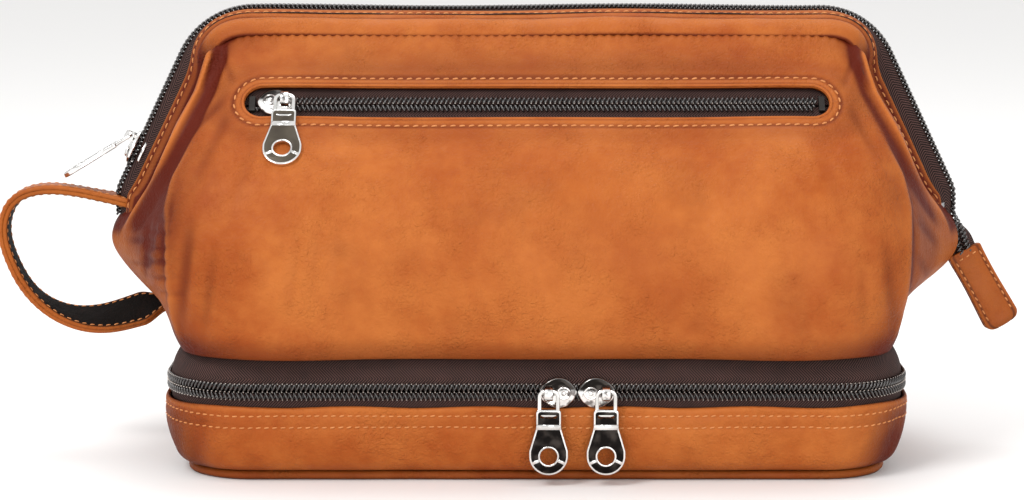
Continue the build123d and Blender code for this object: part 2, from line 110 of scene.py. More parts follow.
def spline(places: Array, values: Array, at: Array) -> Array:
    """A natural cubic spline: second derivatives solve the usual tridiagonal system, zero at both ends.

    Args:
        places: rising positions, one for each value.
        values: values along the first axis.
        at: positions to read, of one dimension.

    Returns:
        The values at those positions.
    """
    places, values, at = np.asarray(places, float), np.asarray(values, float), np.asarray(at, float)
    count, step = len(places), np.diff(places)
    flat = values.reshape(count, -1)
    inner = np.arange(1, count - 1)
    system = np.eye(count)
    system[inner, inner - 1], system[inner, inner + 1] = step[:-1], step[1:]
    system[inner, inner] = 2.0 * (step[:-1] + step[1:])
    slope = np.diff(flat, axis=0) / step[:, None]
    right = np.zeros_like(flat)
    right[1:-1] = 6.0 * np.diff(slope, axis=0)
    bend = np.linalg.solve(system, right)
    k = np.clip(np.searchsorted(places, at, "right") - 1, 0, count - 2)
    a = ((places[k + 1] - at) / step[k])[:, None]
    b = 1.0 - a
    read = (a * flat[k] + b * flat[k + 1]
            + ((a**3 - a) * bend[k] + (b**3 - b) * bend[k + 1]) * step[k, None] ** 2 / 6.0)
    return read.reshape(len(at), *values.shape[1:])


def lengths(points: Array) -> Array:
    """Running length of a polyline, from 0 at its first point."""
    return np.concatenate([[0.0], np.cumsum(np.linalg.norm(np.diff(points, axis=0), axis=1))])


def resample(points: Array, count: int) -> Array:
    """The same polyline with its points at equal lengths.

    Args:
        points: the polyline.
        count: how many points to give.

    Returns:
        Points at equal lengths.
    """
    run = lengths(points)
    at = np.linspace(0.0, run[-1], count)
    return np.stack([np.interp(at, run, points[:, k]) for k in range(points.shape[1])], axis=1)


@dataclass
class Shell:
    """A mesh in millimetres: points, faces, a texture place at every corner, and fields on points."""

    points: Array
    faces: list[Array]
    corners: list[Array]
    fields: dict[str, Array] = field(default_factory=dict)

    @staticmethod
    def grid(
        points: Array,
        close_rows: bool = False,
        close_columns: bool = False,
        fields: dict[str, Array] | None = None,
    ) -> "Shell":
        """A surface through a grid of points, whose texture places are the lengths run along and across it.

        Args:
            points: an array of rows, columns and three coordinates.
            close_rows: whether the last row joins the first.
            close_columns: whether the last column joins the first.
            fields: values of the same rows and columns.

        Returns:
            The surface, as quads.
        """
        rows, columns = points.shape[:2]
        index = np.arange(rows * columns).reshape(rows, columns)
        wide = np.concatenate([points, points[:, :1]], axis=1) if close_columns else points
        tall = np.concatenate([points, points[:1]], axis=0) if close_rows else points
        along = np.concatenate([[0.0], np.cumsum(np.linalg.norm(np.diff(wide, axis=1), axis=2).mean(0))])
        across = np.concatenate([[0.0], np.cumsum(np.linalg.norm(np.diff(tall, axis=0), axis=2).mean(1))])
        if close_columns:
            index = np.concatenate([index, index[:, :1]], axis=1)
        if close_rows:
            index = np.concatenate([index, index[:1]], axis=0)
        u, v = np.meshgrid(along[: index.shape[1]], across[: index.shape[0]])
        places = np.stack([u, v], axis=2)
        ring = ((slice(None, -1), slice(None, -1)), (slice(None, -1), slice(1, None)),
                (slice(1, None), slice(1, None)), (slice(1, None), slice(None, -1)))
        quads = np.stack([index[part] for part in ring], axis=-1).reshape(-1, 4)
        corners = np.stack([places[part] for part in ring], axis=2).reshape(-1, 4, 2)
        kept = {name: np.asarray(value, float).reshape(-1) for name, value in (fields or {}).items()}
        return Shell(points.reshape(-1, 3).astype(float), [quads], [corners], kept)

    @staticmethod
    def join(shells: Sequence["Shell"]) -> "Shell":
        """Several shells as one. A field that one of them lacks is zero there.

        Args:
            shells: the shells.

        Returns:
            One shell.
        """
        faces, corners, start = [], [], 0
        for shell in shells:
            faces += [part + start for part in shell.faces]
            corners += shell.corners
            start += len(shell.points)
        names = sorted({name for shell in shells for name in shell.fields})
        fields = {
            name: np.concatenate([shell.fields.get(name, np.zeros(len(shell.points))) for shell in shells])
            for name in names
        }
        return Shell(np.concatenate([shell.points for shell in shells]), faces, corners, fields)

    def normals(self) -> Array:
        """Directions square to the surface at its points: the sum of the cross products of its faces.

        Returns:
            One unit vector a point.
        """
        total = np.zeros_like(self.points)
        for part in self.faces:
            corner = self.points[part]
            cross = np.cross(corner[:, 2] - corner[:, 0], corner[:, -1] - corner[:, 1])
            np.add.at(total, part.reshape(-1), np.repeat(cross, part.shape[1], axis=0))
        return unit(total)

    def facing(self, way: Sequence[float]) -> "Shell":
        """The same open surface with its faces turned so that their mean normal leans along way.

        Args:
            way: the direction.

        Returns:
            This shell.
        """
        if float(self.normals().mean(0) @ way) < 0.0:
            self.faces[0], self.corners[0] = self.faces[0][:, ::-1], self.corners[0][:, ::-1]
        return self

    def volume(self) -> float:
        """Six times the closed volume, from the triple products of fans of triangles.

        Returns:
            A number that is negative where the faces look inwards.
        """
        total = 0.0
        middle = self.points.mean(0)
        for part in self.faces:
            corner = self.points[part] - middle
            for k in range(1, part.shape[1] - 1):
                total += float(np.einsum("ij,ij->", corner[:, 0], np.cross(corner[:, k], corner[:, k + 1])))
        return total

    def outward(self) -> "Shell":
        """The same closed shell with its faces turned to the outside.

        Returns:
            This shell.
        """
        if self.volume() < 0.0:
            self.faces = [part[:, ::-1] for part in self.faces]
            self.corners = [part[:, ::-1] for part in self.corners]
        return self

    def thick(self, depth: float | Array) -> "Shell":
        """A wall of this depth behind an open surface, with its rims closed.

        Args:
            depth: the wall's depth against the surface's normals, one value or one a point.

        Returns:
            The closed wall, with its faces outwards.
        """
        count = len(self.points)
        inner = self.points - self.normals() * np.reshape(depth, (-1, 1))
        quads, places = self.faces[0], self.corners[0]
        first, second = quads.reshape(-1), np.roll(quads, -1, axis=1).reshape(-1)
        start, end = places.reshape(-1, 2), np.roll(places, -1, axis=1).reshape(-1, 2)
        code, back = first * count + second, second * count + first
        edge = ~np.isin(code, back)
        a, b = first[edge], second[edge]
        rim = np.stack([b, a, a + count, b + count], axis=1)
        rim_places = np.stack([end[edge], start[edge], start[edge] + 0.5, end[edge] + 0.5], axis=1)
        wall = Shell(
            np.concatenate([self.points, inner]),
            [quads, quads[:, ::-1] + count, rim],
            [places, places[:, ::-1], rim_places],
            {name: np.concatenate([value, value]) for name, value in self.fields.items()},
        )
        return wall.outward()

    def without(self, drop: Array) -> "Shell":
        """The same surface without some of its faces and without the points that no face then uses.

        Args:
            drop: true for each face to leave out.

        Returns:
            A new shell.
        """
        quads, corners = self.faces[0][~drop], self.corners[0][~drop]
        used = np.unique(quads)
        place = np.zeros(len(self.points), int)
        place[used] = np.arange(len(used))
        return Shell(self.points[used], [place[quads]], [corners],
                     {name: value[used] for name, value in self.fields.items()})

    def nearest(self, places: Array) -> tuple[Array, Array]:
        """The surface's nearest point to each place and its normal, found from distances in blocks.

        Args:
            places: the places.

        Returns:
            The places moved onto the surface along its normal, and that normal.
        """
        found = np.concatenate([
            np.argmin(((block[:, None] - self.points[None]) ** 2).sum(2), axis=1)
            for block in np.array_split(places, max(1, len(places) // 24))
        ])
        normal = self.normals()[found]
        off = np.einsum("ij,ij->i", self.points[found] - places, normal)
        return places + normal * off[:, None], normal

    def mesh(self, name: str) -> bpy.types.Mesh:
        """A smooth mesh in metres, with a map named UV in millimetres and every field as an attribute.

        Args:
            name: the mesh's name.

        Returns:
            The mesh.
        """
        mesh = bpy.data.meshes.new(name)
        faces = [face for part in self.faces for face in part.tolist()]
        mesh.from_pydata((self.points * MM).tolist(), [], faces)
        places = np.concatenate([part.reshape(-1, 2) for part in self.corners])
        mesh.uv_layers.new(name="UV").data.foreach_set("uv", places.astype(np.float32).reshape(-1))
        for key, value in self.fields.items():
            mesh.attributes.new(key, "FLOAT", "POINT").data.foreach_set("value", value.astype(np.float32))
        mesh.polygons.foreach_set("use_smooth", np.ones(len(mesh.polygons), bool))
        mesh.update()
        return mesh


def circle(sides: int, tall: float = 1.0, wide: float = 1.0) -> Array:
    """An oval section: (tall cos a, wide sin a) at equal angles."""
    a = np.linspace(0.0, 2.0 * np.pi, sides, endpoint=False)
    return np.stack([tall * np.cos(a), wide * np.sin(a)], axis=1)


def slab(tall: float, wide: float, edge: float, steps: int = 3) -> Array:
    """A section of an oblong with rounded edges: half sizes tall and wide, and arcs of radius edge.

    Args:
        tall: half the height.
        wide: half the width.
        edge: the edges' radius.
        steps: points in each arc.

    Returns:
        The section's points, in order.
    """
    quarter = np.linspace(0.0, 0.5 * np.pi, steps)
    arc = np.stack([np.cos(quarter), np.sin(quarter)], axis=1) * edge
    signs = (((1, 1), arc), ((-1, 1), arc[::-1]), ((-1, -1), arc), ((1, -1), arc[::-1]))
    centre = np.array([tall - edge, wide - edge])
    return np.concatenate([np.array(sign) * (centre + part) for sign, part in signs])


def sweep(line: Array, hint: Array | Spot, section: Array, size: float | Array = 1.0,
          closed: bool = False) -> Shell:
    """A section carried along a line: each ring is size * (p n + q b) round its point of the line.

    Args:
        line: the middle line.
        hint: directions that aren't along the line, one or one a point. n is their part square to the line.
        section: the section's points (p, q).
        size: the section's scale: one, one a point, or a pair a point, for p and for q.
        closed: whether the last ring joins the first.

    Returns:
        The closed bar.
    """
    way = unit(np.roll(line, -1, 0) - np.roll(line, 1, 0)) if closed else unit(np.gradient(line, axis=0))
    hint = np.broadcast_to(hint, line.shape)
    n = unit(hint - np.einsum("ij,ij->i", hint, way)[:, None] * way)
    b = np.cross(way, n)
    scale = np.asarray(size, float)
    ring = section[None] * (scale[:, None] if scale.ndim == 2 else scale.reshape(-1, 1, 1))
    ring = np.broadcast_to(ring, (len(line),) + section.shape)
    rings = line[:, None] + ring[..., :1] * n[:, None] + ring[..., 1:] * b[:, None]
    shell = Shell.grid(rings, close_rows=closed, close_columns=True)
    if not closed:
        sides = len(section)
        last = (len(line) - 1) * sides
        shell.faces.append(np.array([np.arange(sides)[::-1], last + np.arange(sides)]))
        shell.corners.append(np.zeros((2, sides, 2)))
    return shell.outward()


@dataclass
class Rail:
    """A smooth line that profiles are carried along: points, their outward and their sideways directions."""

    points: Array
    out: Array
    side: Array
    closed: bool = False

    def __post_init__(self) -> None:
        """Works out the running length of the line."""
        loop = np.concatenate([self.points, self.points[:1]]) if self.closed else self.points
        self.run = lengths(loop)
        self.length = float(self.run[-1])

    def _read(self, values: Array, at: Array) -> Array:
        """Values along the line, read at lengths and joined by straight runs.

        Args:
            values: three values a point of the line.
            at: lengths.

        Returns:
            Three values a length.
        """
        loop = np.concatenate([values, values[:1]]) if self.closed else values
        where = np.mod(at, self.length) if self.closed else at
        return np.stack([np.interp(where, self.run, loop[:, k]) for k in range(3)], axis=-1)

    def place(self, at: Array, out: Array | float, side: Array | float) -> Array:
        """The line's point at a length, plus out times its outward direction and side times its sideways one.

        Args:
            at: lengths along the line.
            out: distances outwards.
            side: distances sideways.

        Returns:
            Points, in the shape that the three share.
        """
        at, out, side = np.broadcast_arrays(at, out, side)
        return (
            self._read(self.points, at)
            + out[..., None] * unit(self._read(self.out, at))
            + side[..., None] * unit(self._read(self.side, at))
        )

    def outward_at(self, at: Array) -> Array:
        """The outward directions at lengths."""
        return unit(self._read(self.out, at))

    def way_at(self, at: Array) -> Array:
        """The directions along the line at lengths, from places a little before and after."""
        at = np.asarray(at, float)
        return unit(self.place(at + 0.2, 0.0, 0.0) - self.place(at - 0.2, 0.0, 0.0))


def rounded(corners: Sequence[tuple[float, float]], radii: Sequence[float], closed: bool,
            step: float = 0.6) -> Array:
    """A polyline in a plane with its corners turned into arcs.

    Each arc touches both sides at radius * tan(turn / 2) from its corner.

    Args:
        corners: the corners, in order.
        radii: the radius at each corner. An open line's two ends aren't rounded.
        closed: whether the last corner joins the first.
        step: the spacing of points, about.

    Returns:
        Points at equal lengths. A closed line doesn't repeat its first point.
    """
    points, count = np.array(corners, float), len(corners)
    line: list[Array] = []
    for k in range(count):
        if not closed and k in (0, count - 1):
            line.append(points[k : k + 1])
            continue
        here, before, after = points[k], points[k - 1], points[(k + 1) % count]
        back, ahead = unit(before - here), unit(after - here)
        half = 0.5 * math.acos(float(np.clip(back @ ahead, -1.0, 1.0)))
        reach = radii[k] / math.tan(half)
        middle = here + unit(back + ahead) * radii[k] / math.sin(half)
        start, end = here + back * reach - middle, here + ahead * reach - middle
        turn = math.atan2(start[0] * end[1] - start[1] * end[0], float(start @ end))
        angle = np.linspace(0.0, turn, max(8, int(abs(turn) * radii[k] / step) + 2))
        c, s = np.cos(angle), np.sin(angle)
        line.append(middle + np.stack([c * start[0] - s * start[1], s * start[0] + c * start[1]], axis=1))
    whole = np.concatenate(line + ([line[0][:1]] if closed else []))
    dense = resample(whole, int(lengths(whole)[-1] / step) + 2)
    return dense[:-1] if closed else dense


class Signal:
    """A node's output in a material. Its operators add Math nodes."""

    def __init__(self, graph: "Graph", socket: Any) -> None:
        """Keeps the graph and the output socket."""
        self.graph, self.socket = graph, socket

    def _math(self, operation: str, *values: "Signal | float") -> "Signal":
        """A Math node on these values."""
        node = self.graph.add("ShaderNodeMath", {"operation": operation}, dict(enumerate(values)))
        return Signal(self.graph, node.outputs[0])

    def __add__(self, other: "Signal | float") -> "Signal":
        """self + other."""
        return self._math("ADD", self, other)

    def __radd__(self, other: float) -> "Signal":
        """other + self."""
        return self._math("ADD", other, self)

    def __sub__(self, other: "Signal | float") -> "Signal":
        """self - other."""
        return self._math("SUBTRACT", self, other)

    def __rsub__(self, other: float) -> "Signal":
        """other - self."""
        return self._math("SUBTRACT", other, self)

    def __mul__(self, other: "Signal | float") -> "Signal":
        """self * other."""
        return self._math("MULTIPLY", self, other)

    def __rmul__(self, other: float) -> "Signal":
        """other * self."""
        return self._math("MULTIPLY", other, self)

    def sine(self) -> "Signal":
        """sin(self)."""
        return self._math("SINE", self)

    def fold(self, size: float) -> "Signal":
        """A zigzag between 0 and size."""
        return self._math("PINGPONG", self, size)

    def between(self, low: float, high: float) -> "Signal":
        """0 at low, 1 at high, eased between them and held outside.

        Args:
            low: where it starts to rise.
            high: where it reaches 1.

        Returns:
            The eased signal.
        """
        sockets = {"Value": self, "From Min": low, "From Max": high, "To Min": 0.0, "To Max": 1.0}
        node = self.graph.add("ShaderNodeMapRange", {"interpolation_type": "SMOOTHSTEP"}, sockets)
        return Signal(self.graph, node.outputs["Result"])


Tone = Spot


class Graph:
    """The nodes of one material, ending in one Principled shader."""

    def __init__(self, name: str) -> None:
        """Starts an empty material.

        Args:
            name: the material's name.
        """
        self.material = bpy.data.materials.new(name)
        self.material.use_nodes = True
        self.tree = self.material.node_tree
        self.tree.nodes.clear()

    def add(self, kind: str, settings: dict[str, Any], sockets: dict[Any, Any]) -> Any:
        """Any node.

        Args:
            kind: the node's type.
            settings: its own properties, such as a Math node's operation, which are set first.
            sockets: a value or a signal for each input, by name or number.

        Returns:
            The node.
        """
        node = self.tree.nodes.new(kind)
        for key, value in settings.items():
            setattr(node, key, value)
        for key, value in sockets.items():
            if isinstance(value, Signal):
                self.tree.links.new(value.socket, node.inputs[key])
            else:
                node.inputs[key].default_value = value
        return node

    def place(self) -> Signal:
        """Object coordinates in millimetres.

        Returns:
            A vector.
        """
        coordinates = self.add("ShaderNodeTexCoord", {}, {})
        scaled = self.add("ShaderNodeVectorMath", {"operation": "SCALE"},
                          {0: Signal(self, coordinates.outputs["Object"]), "Scale": 1.0 / MM})
        return Signal(self, scaled.outputs[0])

    def lie(self) -> tuple[Signal, Signal]:
        """The UV map's two lengths, in millimetres.

        Returns:
            The length along and the length across.
        """
        coordinates = self.add("ShaderNodeTexCoord", {}, {})
        parts = self.add("ShaderNodeSeparateXYZ", {}, {0: Signal(self, coordinates.outputs["UV"])})
        return Signal(self, parts.outputs[0]), Signal(self, parts.outputs[1])

    def noise(self, where: Signal, size: float, detail: float = 3.0, rough: float = 0.55) -> Signal:
        """Noise of about this size in millimetres, from 0 to 1."""
        sockets = {"Vector": where, "Scale": 1.0 / size, "Detail": detail, "Roughness": rough}
        return Signal(self, self.add("ShaderNodeTexNoise", {}, sockets).outputs[0])

    def cells(self, where: Signal, size: float) -> Signal:
        """Distance from the walls of cells of about this size, which is 0 on the walls."""
        node = self.add("ShaderNodeTexVoronoi", {"feature": "DISTANCE_TO_EDGE"},
                        {"Vector": where, "Scale": 1.0 / size})
        return Signal(self, node.outputs["Distance"])

    def painted(self, name: str) -> Signal:
        """A field of the mesh."""
        return Signal(self, self.add("ShaderNodeAttribute", {"attribute_name": name}, {}).outputs["Fac"])

    def mix(self, share: Signal, first: "Signal | Tone", second: "Signal | Tone") -> Signal:
        """A colour between two, by a share.

        Args:
            share: 0 for the first, 1 for the second.
            first: a tone or a colour.
            second: a tone or a colour.

        Returns:
            The colour between them.
        """
        tones = [tone if isinstance(tone, Signal) else (*tone, 1.0) for tone in (first, second)]
        node = self.add("ShaderNodeMix", {"data_type": "RGBA"}, {0: share, 6: tones[0], 7: tones[1]})
        return Signal(self, node.outputs[2])

    def bump(self, height: Signal, distance: float, under: Signal | None = None) -> Signal:
        """Relief of this height in millimetres, on top of another relief where one is given.

        Args:
            height: the relief, from 0 to 1.
            distance: its height in millimetres.
            under: the relief below it.

        Returns:
            The bent normal.
        """
        sockets = {"Height": height, "Distance": distance * MM, "Strength": 1.0}
        if under is not None:
            sockets["Normal"] = under
        return Signal(self, self.add("ShaderNodeBump", {}, sockets).outputs[0])

    def finish(self, sockets: dict[str, Any]) -> bpy.types.Material:
        """Ends the material in a Principled shader with these sockets.

        Args:
            sockets: values and signals for the shader.

        Returns:
            The material.
        """
        shader = self.add("ShaderNodeBsdfPrincipled", {}, sockets)
        self.add("ShaderNodeOutputMaterial", {}, {"Surface": Signal(self, shader.outputs[0])})
        return self.material


@dataclass(frozen=True)
class Leather:
    """Waxed leather: pebbles between fine grooves and clouded dye. One field darkens it, for burnished edges
    and for painted shade in folds, creases and recesses. Another makes it paler, for rubbed edges and for
    painted highlights.
    """

    name: str
    tone: Tone
    pale: Tone
    deep: Tone
    pebble: float = 1.35
    relief: float = 0.20
    rough: float = 0.46
    coat: float = 0.02

    def make(self) -> bpy.types.Material:
        """The material. One field darkens it, for burnish and for painted shade. Another makes it paler, for
        rubbed edges and for painted highlights.

        Returns:
            The material.
        """
        g = Graph(self.name)
        where = g.place()
        cloud = g.noise(where, 42.0, 4.0, 0.6)
        speck = g.noise(where, 5.5, 5.0, 0.65)
        bent = g.noise(where, 2.6, 1.0)
        pebbles = g.cells(where, self.pebble).between(-0.04, 0.40) * (0.55 + 0.45 * bent)
        strength = g.noise(where, 17.0, 2.0).between(0.30, 0.70)
        dark = g.painted("burnish")
        rub = g.painted("rub")
        groove = (1.0 - pebbles) * (0.25 + 0.75 * strength)
        tone = g.mix((cloud * 0.75 + speck * 0.25).between(0.30, 0.72), self.tone, self.pale)
        tone = g.mix(g.noise(where, 24.0, 3.0).between(0.50, 0.80) * 0.22, tone, self.deep)
        # burnish and painted shade: the darkening field mixes in the deep tone
        tone = g.mix((dark + (speck - 0.5) * 0.35 * dark).between(0.0, 1.0), tone, self.deep)
        tone = g.mix(groove * 0.05, tone, self.deep)
        # rubbed edges and painted highlights: the lightening field mixes in the pale tone
        tone = g.mix(rub * 0.75, tone, self.pale)
        relief = g.bump(pebbles * (0.25 + 0.75 * strength), self.relief)
        relief = g.bump(g.noise(where, 1.25, 2.0, 0.5) * strength, 0.75, relief)
        relief = g.bump(g.noise(where, 4.6, 3.0, 0.6), 0.55, relief)
        rough = self.rough + (speck - 0.5) * 0.22 + groove * 0.12 + dark * 0.12 - rub * 0.06
        return g.finish({"Base Color": tone, "Roughness": rough, "Normal": relief, "Specular IOR Level": 0.12,
                         "Coat Weight": self.coat, "Coat Roughness": 0.28})


@dataclass(frozen=True)
class Tape:
    """Woven zip tape: threads in a herringbone along the tape."""

    name: str
    tone: Tone
    thread: Tone
    stripe: float = 2.1
    pitch: float = 1.15

    def make(self) -> bpy.types.Material:
        """The material, laid along the map's first length. A thread is sin(2 pi (u + zigzag(v)) / pitch).

        Returns:
            The material.
        """
        g = Graph(self.name)
        along, across = g.lie()
        where = g.place()
        threads = ((along + across.fold(self.stripe)) * (2.0 * math.pi / self.pitch)).sine() * 0.5 + 0.5
        cross = (across * (2.0 * math.pi / 0.42)).sine() * 0.5 + 0.5
        weave = threads * 0.75 + cross * 0.25
        dust = g.noise(where, 6.0, 4.0)
        tone = g.mix((weave * 0.8 + dust * 0.3).between(0.35, 1.0), self.tone, self.thread)
        relief = g.bump(weave, 0.14)
        return g.finish({"Base Color": tone, "Roughness": 0.74 + dust * 0.18, "Normal": relief,
                         "Specular IOR Level": 0.25})


@dataclass(frozen=True)
class Cloth:
    """Plain woven cloth: threads one over one in both directions, with faint creases and worn patches."""

    name: str
    tone: Tone
    thread: Tone
    pitch: float = 0.7

    def make(self) -> bpy.types.Material:
        """The material. A weave is the product of a sine along and a sine across.

        Returns:
            The material.
        """
        g = Graph(self.name)
        along, across = g.lie()
        where = g.place()
        turn = 2.0 * math.pi / self.pitch
        weave = (along * turn).sine() * (across * turn).sine() * 0.5 + 0.5
        wear = g.noise(where, 22.0, 4.0)
        tone = g.mix((weave * 0.5 + wear * 0.6).between(0.2, 0.95), self.tone, self.thread)
        relief = g.bump(g.noise(where, 14.0, 3.0), 0.5, g.bump(weave, 0.06))
        return g.finish({"Base Color": tone, "Roughness": 0.72 + wear * 0.2, "Normal": relief,
                         "Specular IOR Level": 0.3})


@dataclass(frozen=True)
class Metal:
    """Plated or bare metal: fine scratches, patches of a second tone (dulled metal, and painted reflections
    on the crown), and a painted dark reflection on the slider's crown where the darkening field is set.
    """

    name: str
    tone: Tone
    dull_and_reflection: Tone
    rough: float
    scratch: float = 0.02
    metallic: float = 1.0
    patch: float = 7.0
    blend: float = 0.15

    def make(self) -> bpy.types.Material:
        """The material.

        Returns:
            The material.
        """
        g = Graph(self.name)
        where = g.place()
        patch = g.noise(where, self.patch, 2.0, 0.4)
        fine = g.noise(where, 0.45, 3.0, 0.7)
        # patches of the second tone: dulled metal, and painted reflections on the crown
        tone = g.mix(patch.between(0.57 - self.blend, 0.57 + self.blend), self.tone, self.dull_and_reflection)
        # painted reflection: the darkening field turns the tone near black on the slider's crown
        tone = g.mix(g.painted("burnish"), tone, (0.02, 0.017, 0.015))
        rough = self.rough + patch * 0.10 + fine * 0.05
        relief = g.bump(fine * 0.5 + g.noise(where, 1.8, 2.0), self.scratch)
        return g.finish({"Base Color": tone, "Roughness": rough, "Metallic": self.metallic, "Normal": relief})


@dataclass(frozen=True)
class Moulded:
    """Smooth nylon, fibreboard or thread: a base tone, a second tone in fine noise, and a relief."""

    name: str
    tone: Tone
    other: Tone
    rough: float
    grain: float
    relief: float
    coat: float = 0.0

    def make(self) -> bpy.types.Material:
        """The material.

        Returns:
            The material.
        """
        g = Graph(self.name)
        where = g.place()
        fine = g.noise(where, self.grain, 4.0, 0.6)
        broad = g.noise(where, self.grain * 14.0, 3.0)
        tone = g.mix((fine * 0.6 + broad * 0.4).between(0.34, 0.66), self.tone, self.other)
        relief = g.bump(fine, self.relief)
        return g.finish({"Base Color": tone, "Roughness": self.rough + (broad - 0.5) * 0.2, "Normal": relief,
                         "Coat Weight": self.coat, "Coat Roughness": 0.15})


class Finish(Enum):
    """Every finish on the bag, with the name of a pack material slot, which is kept but not applied."""

    LEATHER = "bag_leather", Leather(
        "waxed_tan_leather", (0.285, 0.054, 0.0060), (0.44, 0.128, 0.024), (0.085, 0.0075, 0.0012))
    STRAP = "strap_leather", Leather(
        "strap_tan_leather", (0.27, 0.052, 0.0055), (0.38, 0.105, 0.018), (0.040, 0.0060, 0.0020),
        pebble=0.9, relief=0.08, rough=0.38)
    FLESH = "strap_leather", Leather(
        "dark_flesh_side", (0.30, 0.065, 0.009), (0.42, 0.120, 0.021), (0.0040, 0.0022, 0.0016),
        pebble=0.6, relief=0.10, rough=0.62, coat=0.0)
    WELT = "welt_leather", Leather(
        "dark_welt_leather", (0.27, 0.050, 0.0060), (0.38, 0.10, 0.016), (0.050, 0.007, 0.0015),
        pebble=0.8, relief=0.10)
    TAPE = "zip_tape", Tape(
        "brown_herringbone_tape", (0.0050, 0.0022, 0.0018), (0.105, 0.050, 0.042), stripe=3.6, pitch=1.0)
    LINING = "lining_cloth", Cloth("dark_lining_cloth", (0.022, 0.016, 0.013), (0.055, 0.042, 0.034))
    TEETH = "zip_teeth", Moulded(
        "nylon_teeth", (0.010, 0.0065, 0.0055), (0.022, 0.014, 0.011), 0.20, 0.9, 0.02, coat=0.8)
    # painted highlight: pale beads that stand for glints of light on the dark nylon teeth
    DOTS = "zip_teeth", Moulded(
        "nylon_painted_glints", (0.30, 0.25, 0.22), (0.55, 0.49, 0.44), 0.22, 0.9, 0.02, coat=0.8)
    THREAD = "bag_leather", Moulded(
        "tan_thread", (0.46, 0.150, 0.035), (0.60, 0.235, 0.070), 0.62, 0.35, 0.08)
    BOARD = "stiffener_board", Moulded(
        "grey_brown_board", (0.36, 0.28, 0.20), (0.46, 0.37, 0.27), 0.85, 0.8, 0.10)
    PLATE = "plated_metal", Metal("bright_nickel", (0.83, 0.82, 0.80), (0.60, 0.59, 0.57), 0.07)
    # painted reflection: small dark patches on bright nickel stand for the surroundings mirrored in the
    # polished crown
    CROWN = "plated_metal", Metal(
        "nickel_painted_reflections", (0.86, 0.85, 0.83), (0.22, 0.20, 0.19), 0.10, patch=2.3, blend=0.07)
    # painted reflection: the pullers' face sheets are near black for dark surroundings mirrored in polished
    # nickel. The pocket puller's sheet is partly its gunmetal tone and partly a dim painted reflection.
    DARK_PLATE = "plated_metal", Metal(
        "nickel_painted_dark_reflection", (0.010, 0.0085, 0.008), (0.045, 0.038, 0.034), 0.08, patch=3.5)
    SATIN = "plated_metal", Metal("satin_nickel_painted_reflection", (0.085, 0.072, 0.056), (0.060, 0.050, 0.040), 0.30)
    STEEL = "frame_steel", Metal("spring_steel", (0.55, 0.55, 0.56), (0.38, 0.38, 0.39), 0.28, scratch=0.05)
    FITTING = "small_fittings", Metal(
        "blackened_fitting", (0.014, 0.011, 0.009), (0.030, 0.026, 0.022), 0.40, scratch=0.05, metallic=0.6)

    def __init__(self, slot: str, look: Leather | Tape | Cloth | Metal | Moulded) -> None:
        """Keeps the slot and the look."""
        self.slot, self.look = slot, look

    def material(self) -> bpy.types.Material:
        """The finish's material, made once."""
        return bpy.data.materials.get(self.look.name) or self.look.make()


def add_piece(
    name: str, shell: Shell, finish: Finish, body: str | None = None, node: str | None = None,
    slot: str | None = None
) -> Any:
    """Puts a shell into the scene.

    Args:
        name: the piece's name.
        shell: its surface, in millimetres.
        finish: what it is made of.
        body: the body that it rides. A piece that lies across two bodies has none.
        node: the pack's soft node that it replaces.
        slot: a pack material slot's name, which is not used.

    Returns:
        The object.
    """
    piece = bpy.data.objects.new(name, shell.mesh(name))
    bpy.context.scene.collection.objects.link(piece)
    piece.data.materials.append(finish.material())
    slot or finish.slot
    if body is not None:
        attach(piece, body)
    if node is not None:
        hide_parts(node)
    log.info("%s: %d points", name, len(shell.points))
    return piece


def stitches(line: Array, out: Array, pitch: float, share: float = 0.80, radius: float = 0.31,
             lift: float = 0.10) -> Shell:
    """A row of stitches: each is an oval of revolution along the line whose ends dip into the leather.

    A stitch's middle line is lift - 0.42 t^4 above the leather, and its radius is radius * sqrt(1 - t^2),
    with t from -1 to 1 along it.

    Args:
        line: points that the row runs through, on the leather.
        out: the leather's outward direction at each.
        pitch: the spacing of stitches.
        share: the share of the pitch that a stitch covers.
        radius: the thread's radius.
        lift: how far the thread's middle stands above the leather.

    Returns:
        All the stitches as one closed shell each.
    """
    run = lengths(line)
    count = max(1, int(run[-1] / pitch))
    at = (np.arange(count) + 0.5) * run[-1] / count
    rail = Rail(line, out, out)
    middle, normal = rail.place(at, 0.0, 0.0), rail.outward_at(at)
    way = unit(rail.place(at + 0.4, 0.0, 0.0) - rail.place(at - 0.4, 0.0, 0.0))
    turn = rng.normal(0.14, 0.05, (count, 1))
    side = np.cross(normal, way)
    way = unit(way + turn * side)
    side = np.cross(normal, way)
    t = np.linspace(-0.985, 0.985, 6)
    angle = np.linspace(0.0, 2.0 * np.pi, 5, endpoint=False)
    size = radius * np.sqrt(1.0 - t**2)
    half = 0.5 * pitch * share
    rise = lift - 0.42 * t**4
    grid_way = (half * t)[None, :, None, None] * way[:, None, None, :]
    grid_out = (rise[:, None] + size[:, None] * np.cos(angle))[None, :, :, None] * normal[:, None, None, :]
    grid_side = (size[:, None] * np.sin(angle))[None, :, :, None] * side[:, None, None, :]
    points = middle[:, None, None, :] + grid_way + grid_out + grid_side
    rows, sides = len(t), len(angle)
    one = np.arange(rows * sides).reshape(rows, sides)
    wrap = np.concatenate([one, one[:, :1]], axis=1)
    quads = np.stack([wrap[:-1, :-1], wrap[:-1, 1:], wrap[1:, 1:], wrap[1:, :-1]], axis=-1).reshape(-1, 4)
    caps = np.array([one[0][::-1], one[-1]])
    start = (np.arange(count) * rows * sides)[:, None, None]
    all_quads = (quads[None] + start).reshape(-1, 4)
    all_caps = (caps[None] + start).reshape(-1, sides)
    shell = Shell(points.reshape(-1, 3), [all_quads, all_caps],
                  [np.zeros((len(all_quads), 4, 2)), np.zeros((len(all_caps), sides, 2))])
    return shell.outward()


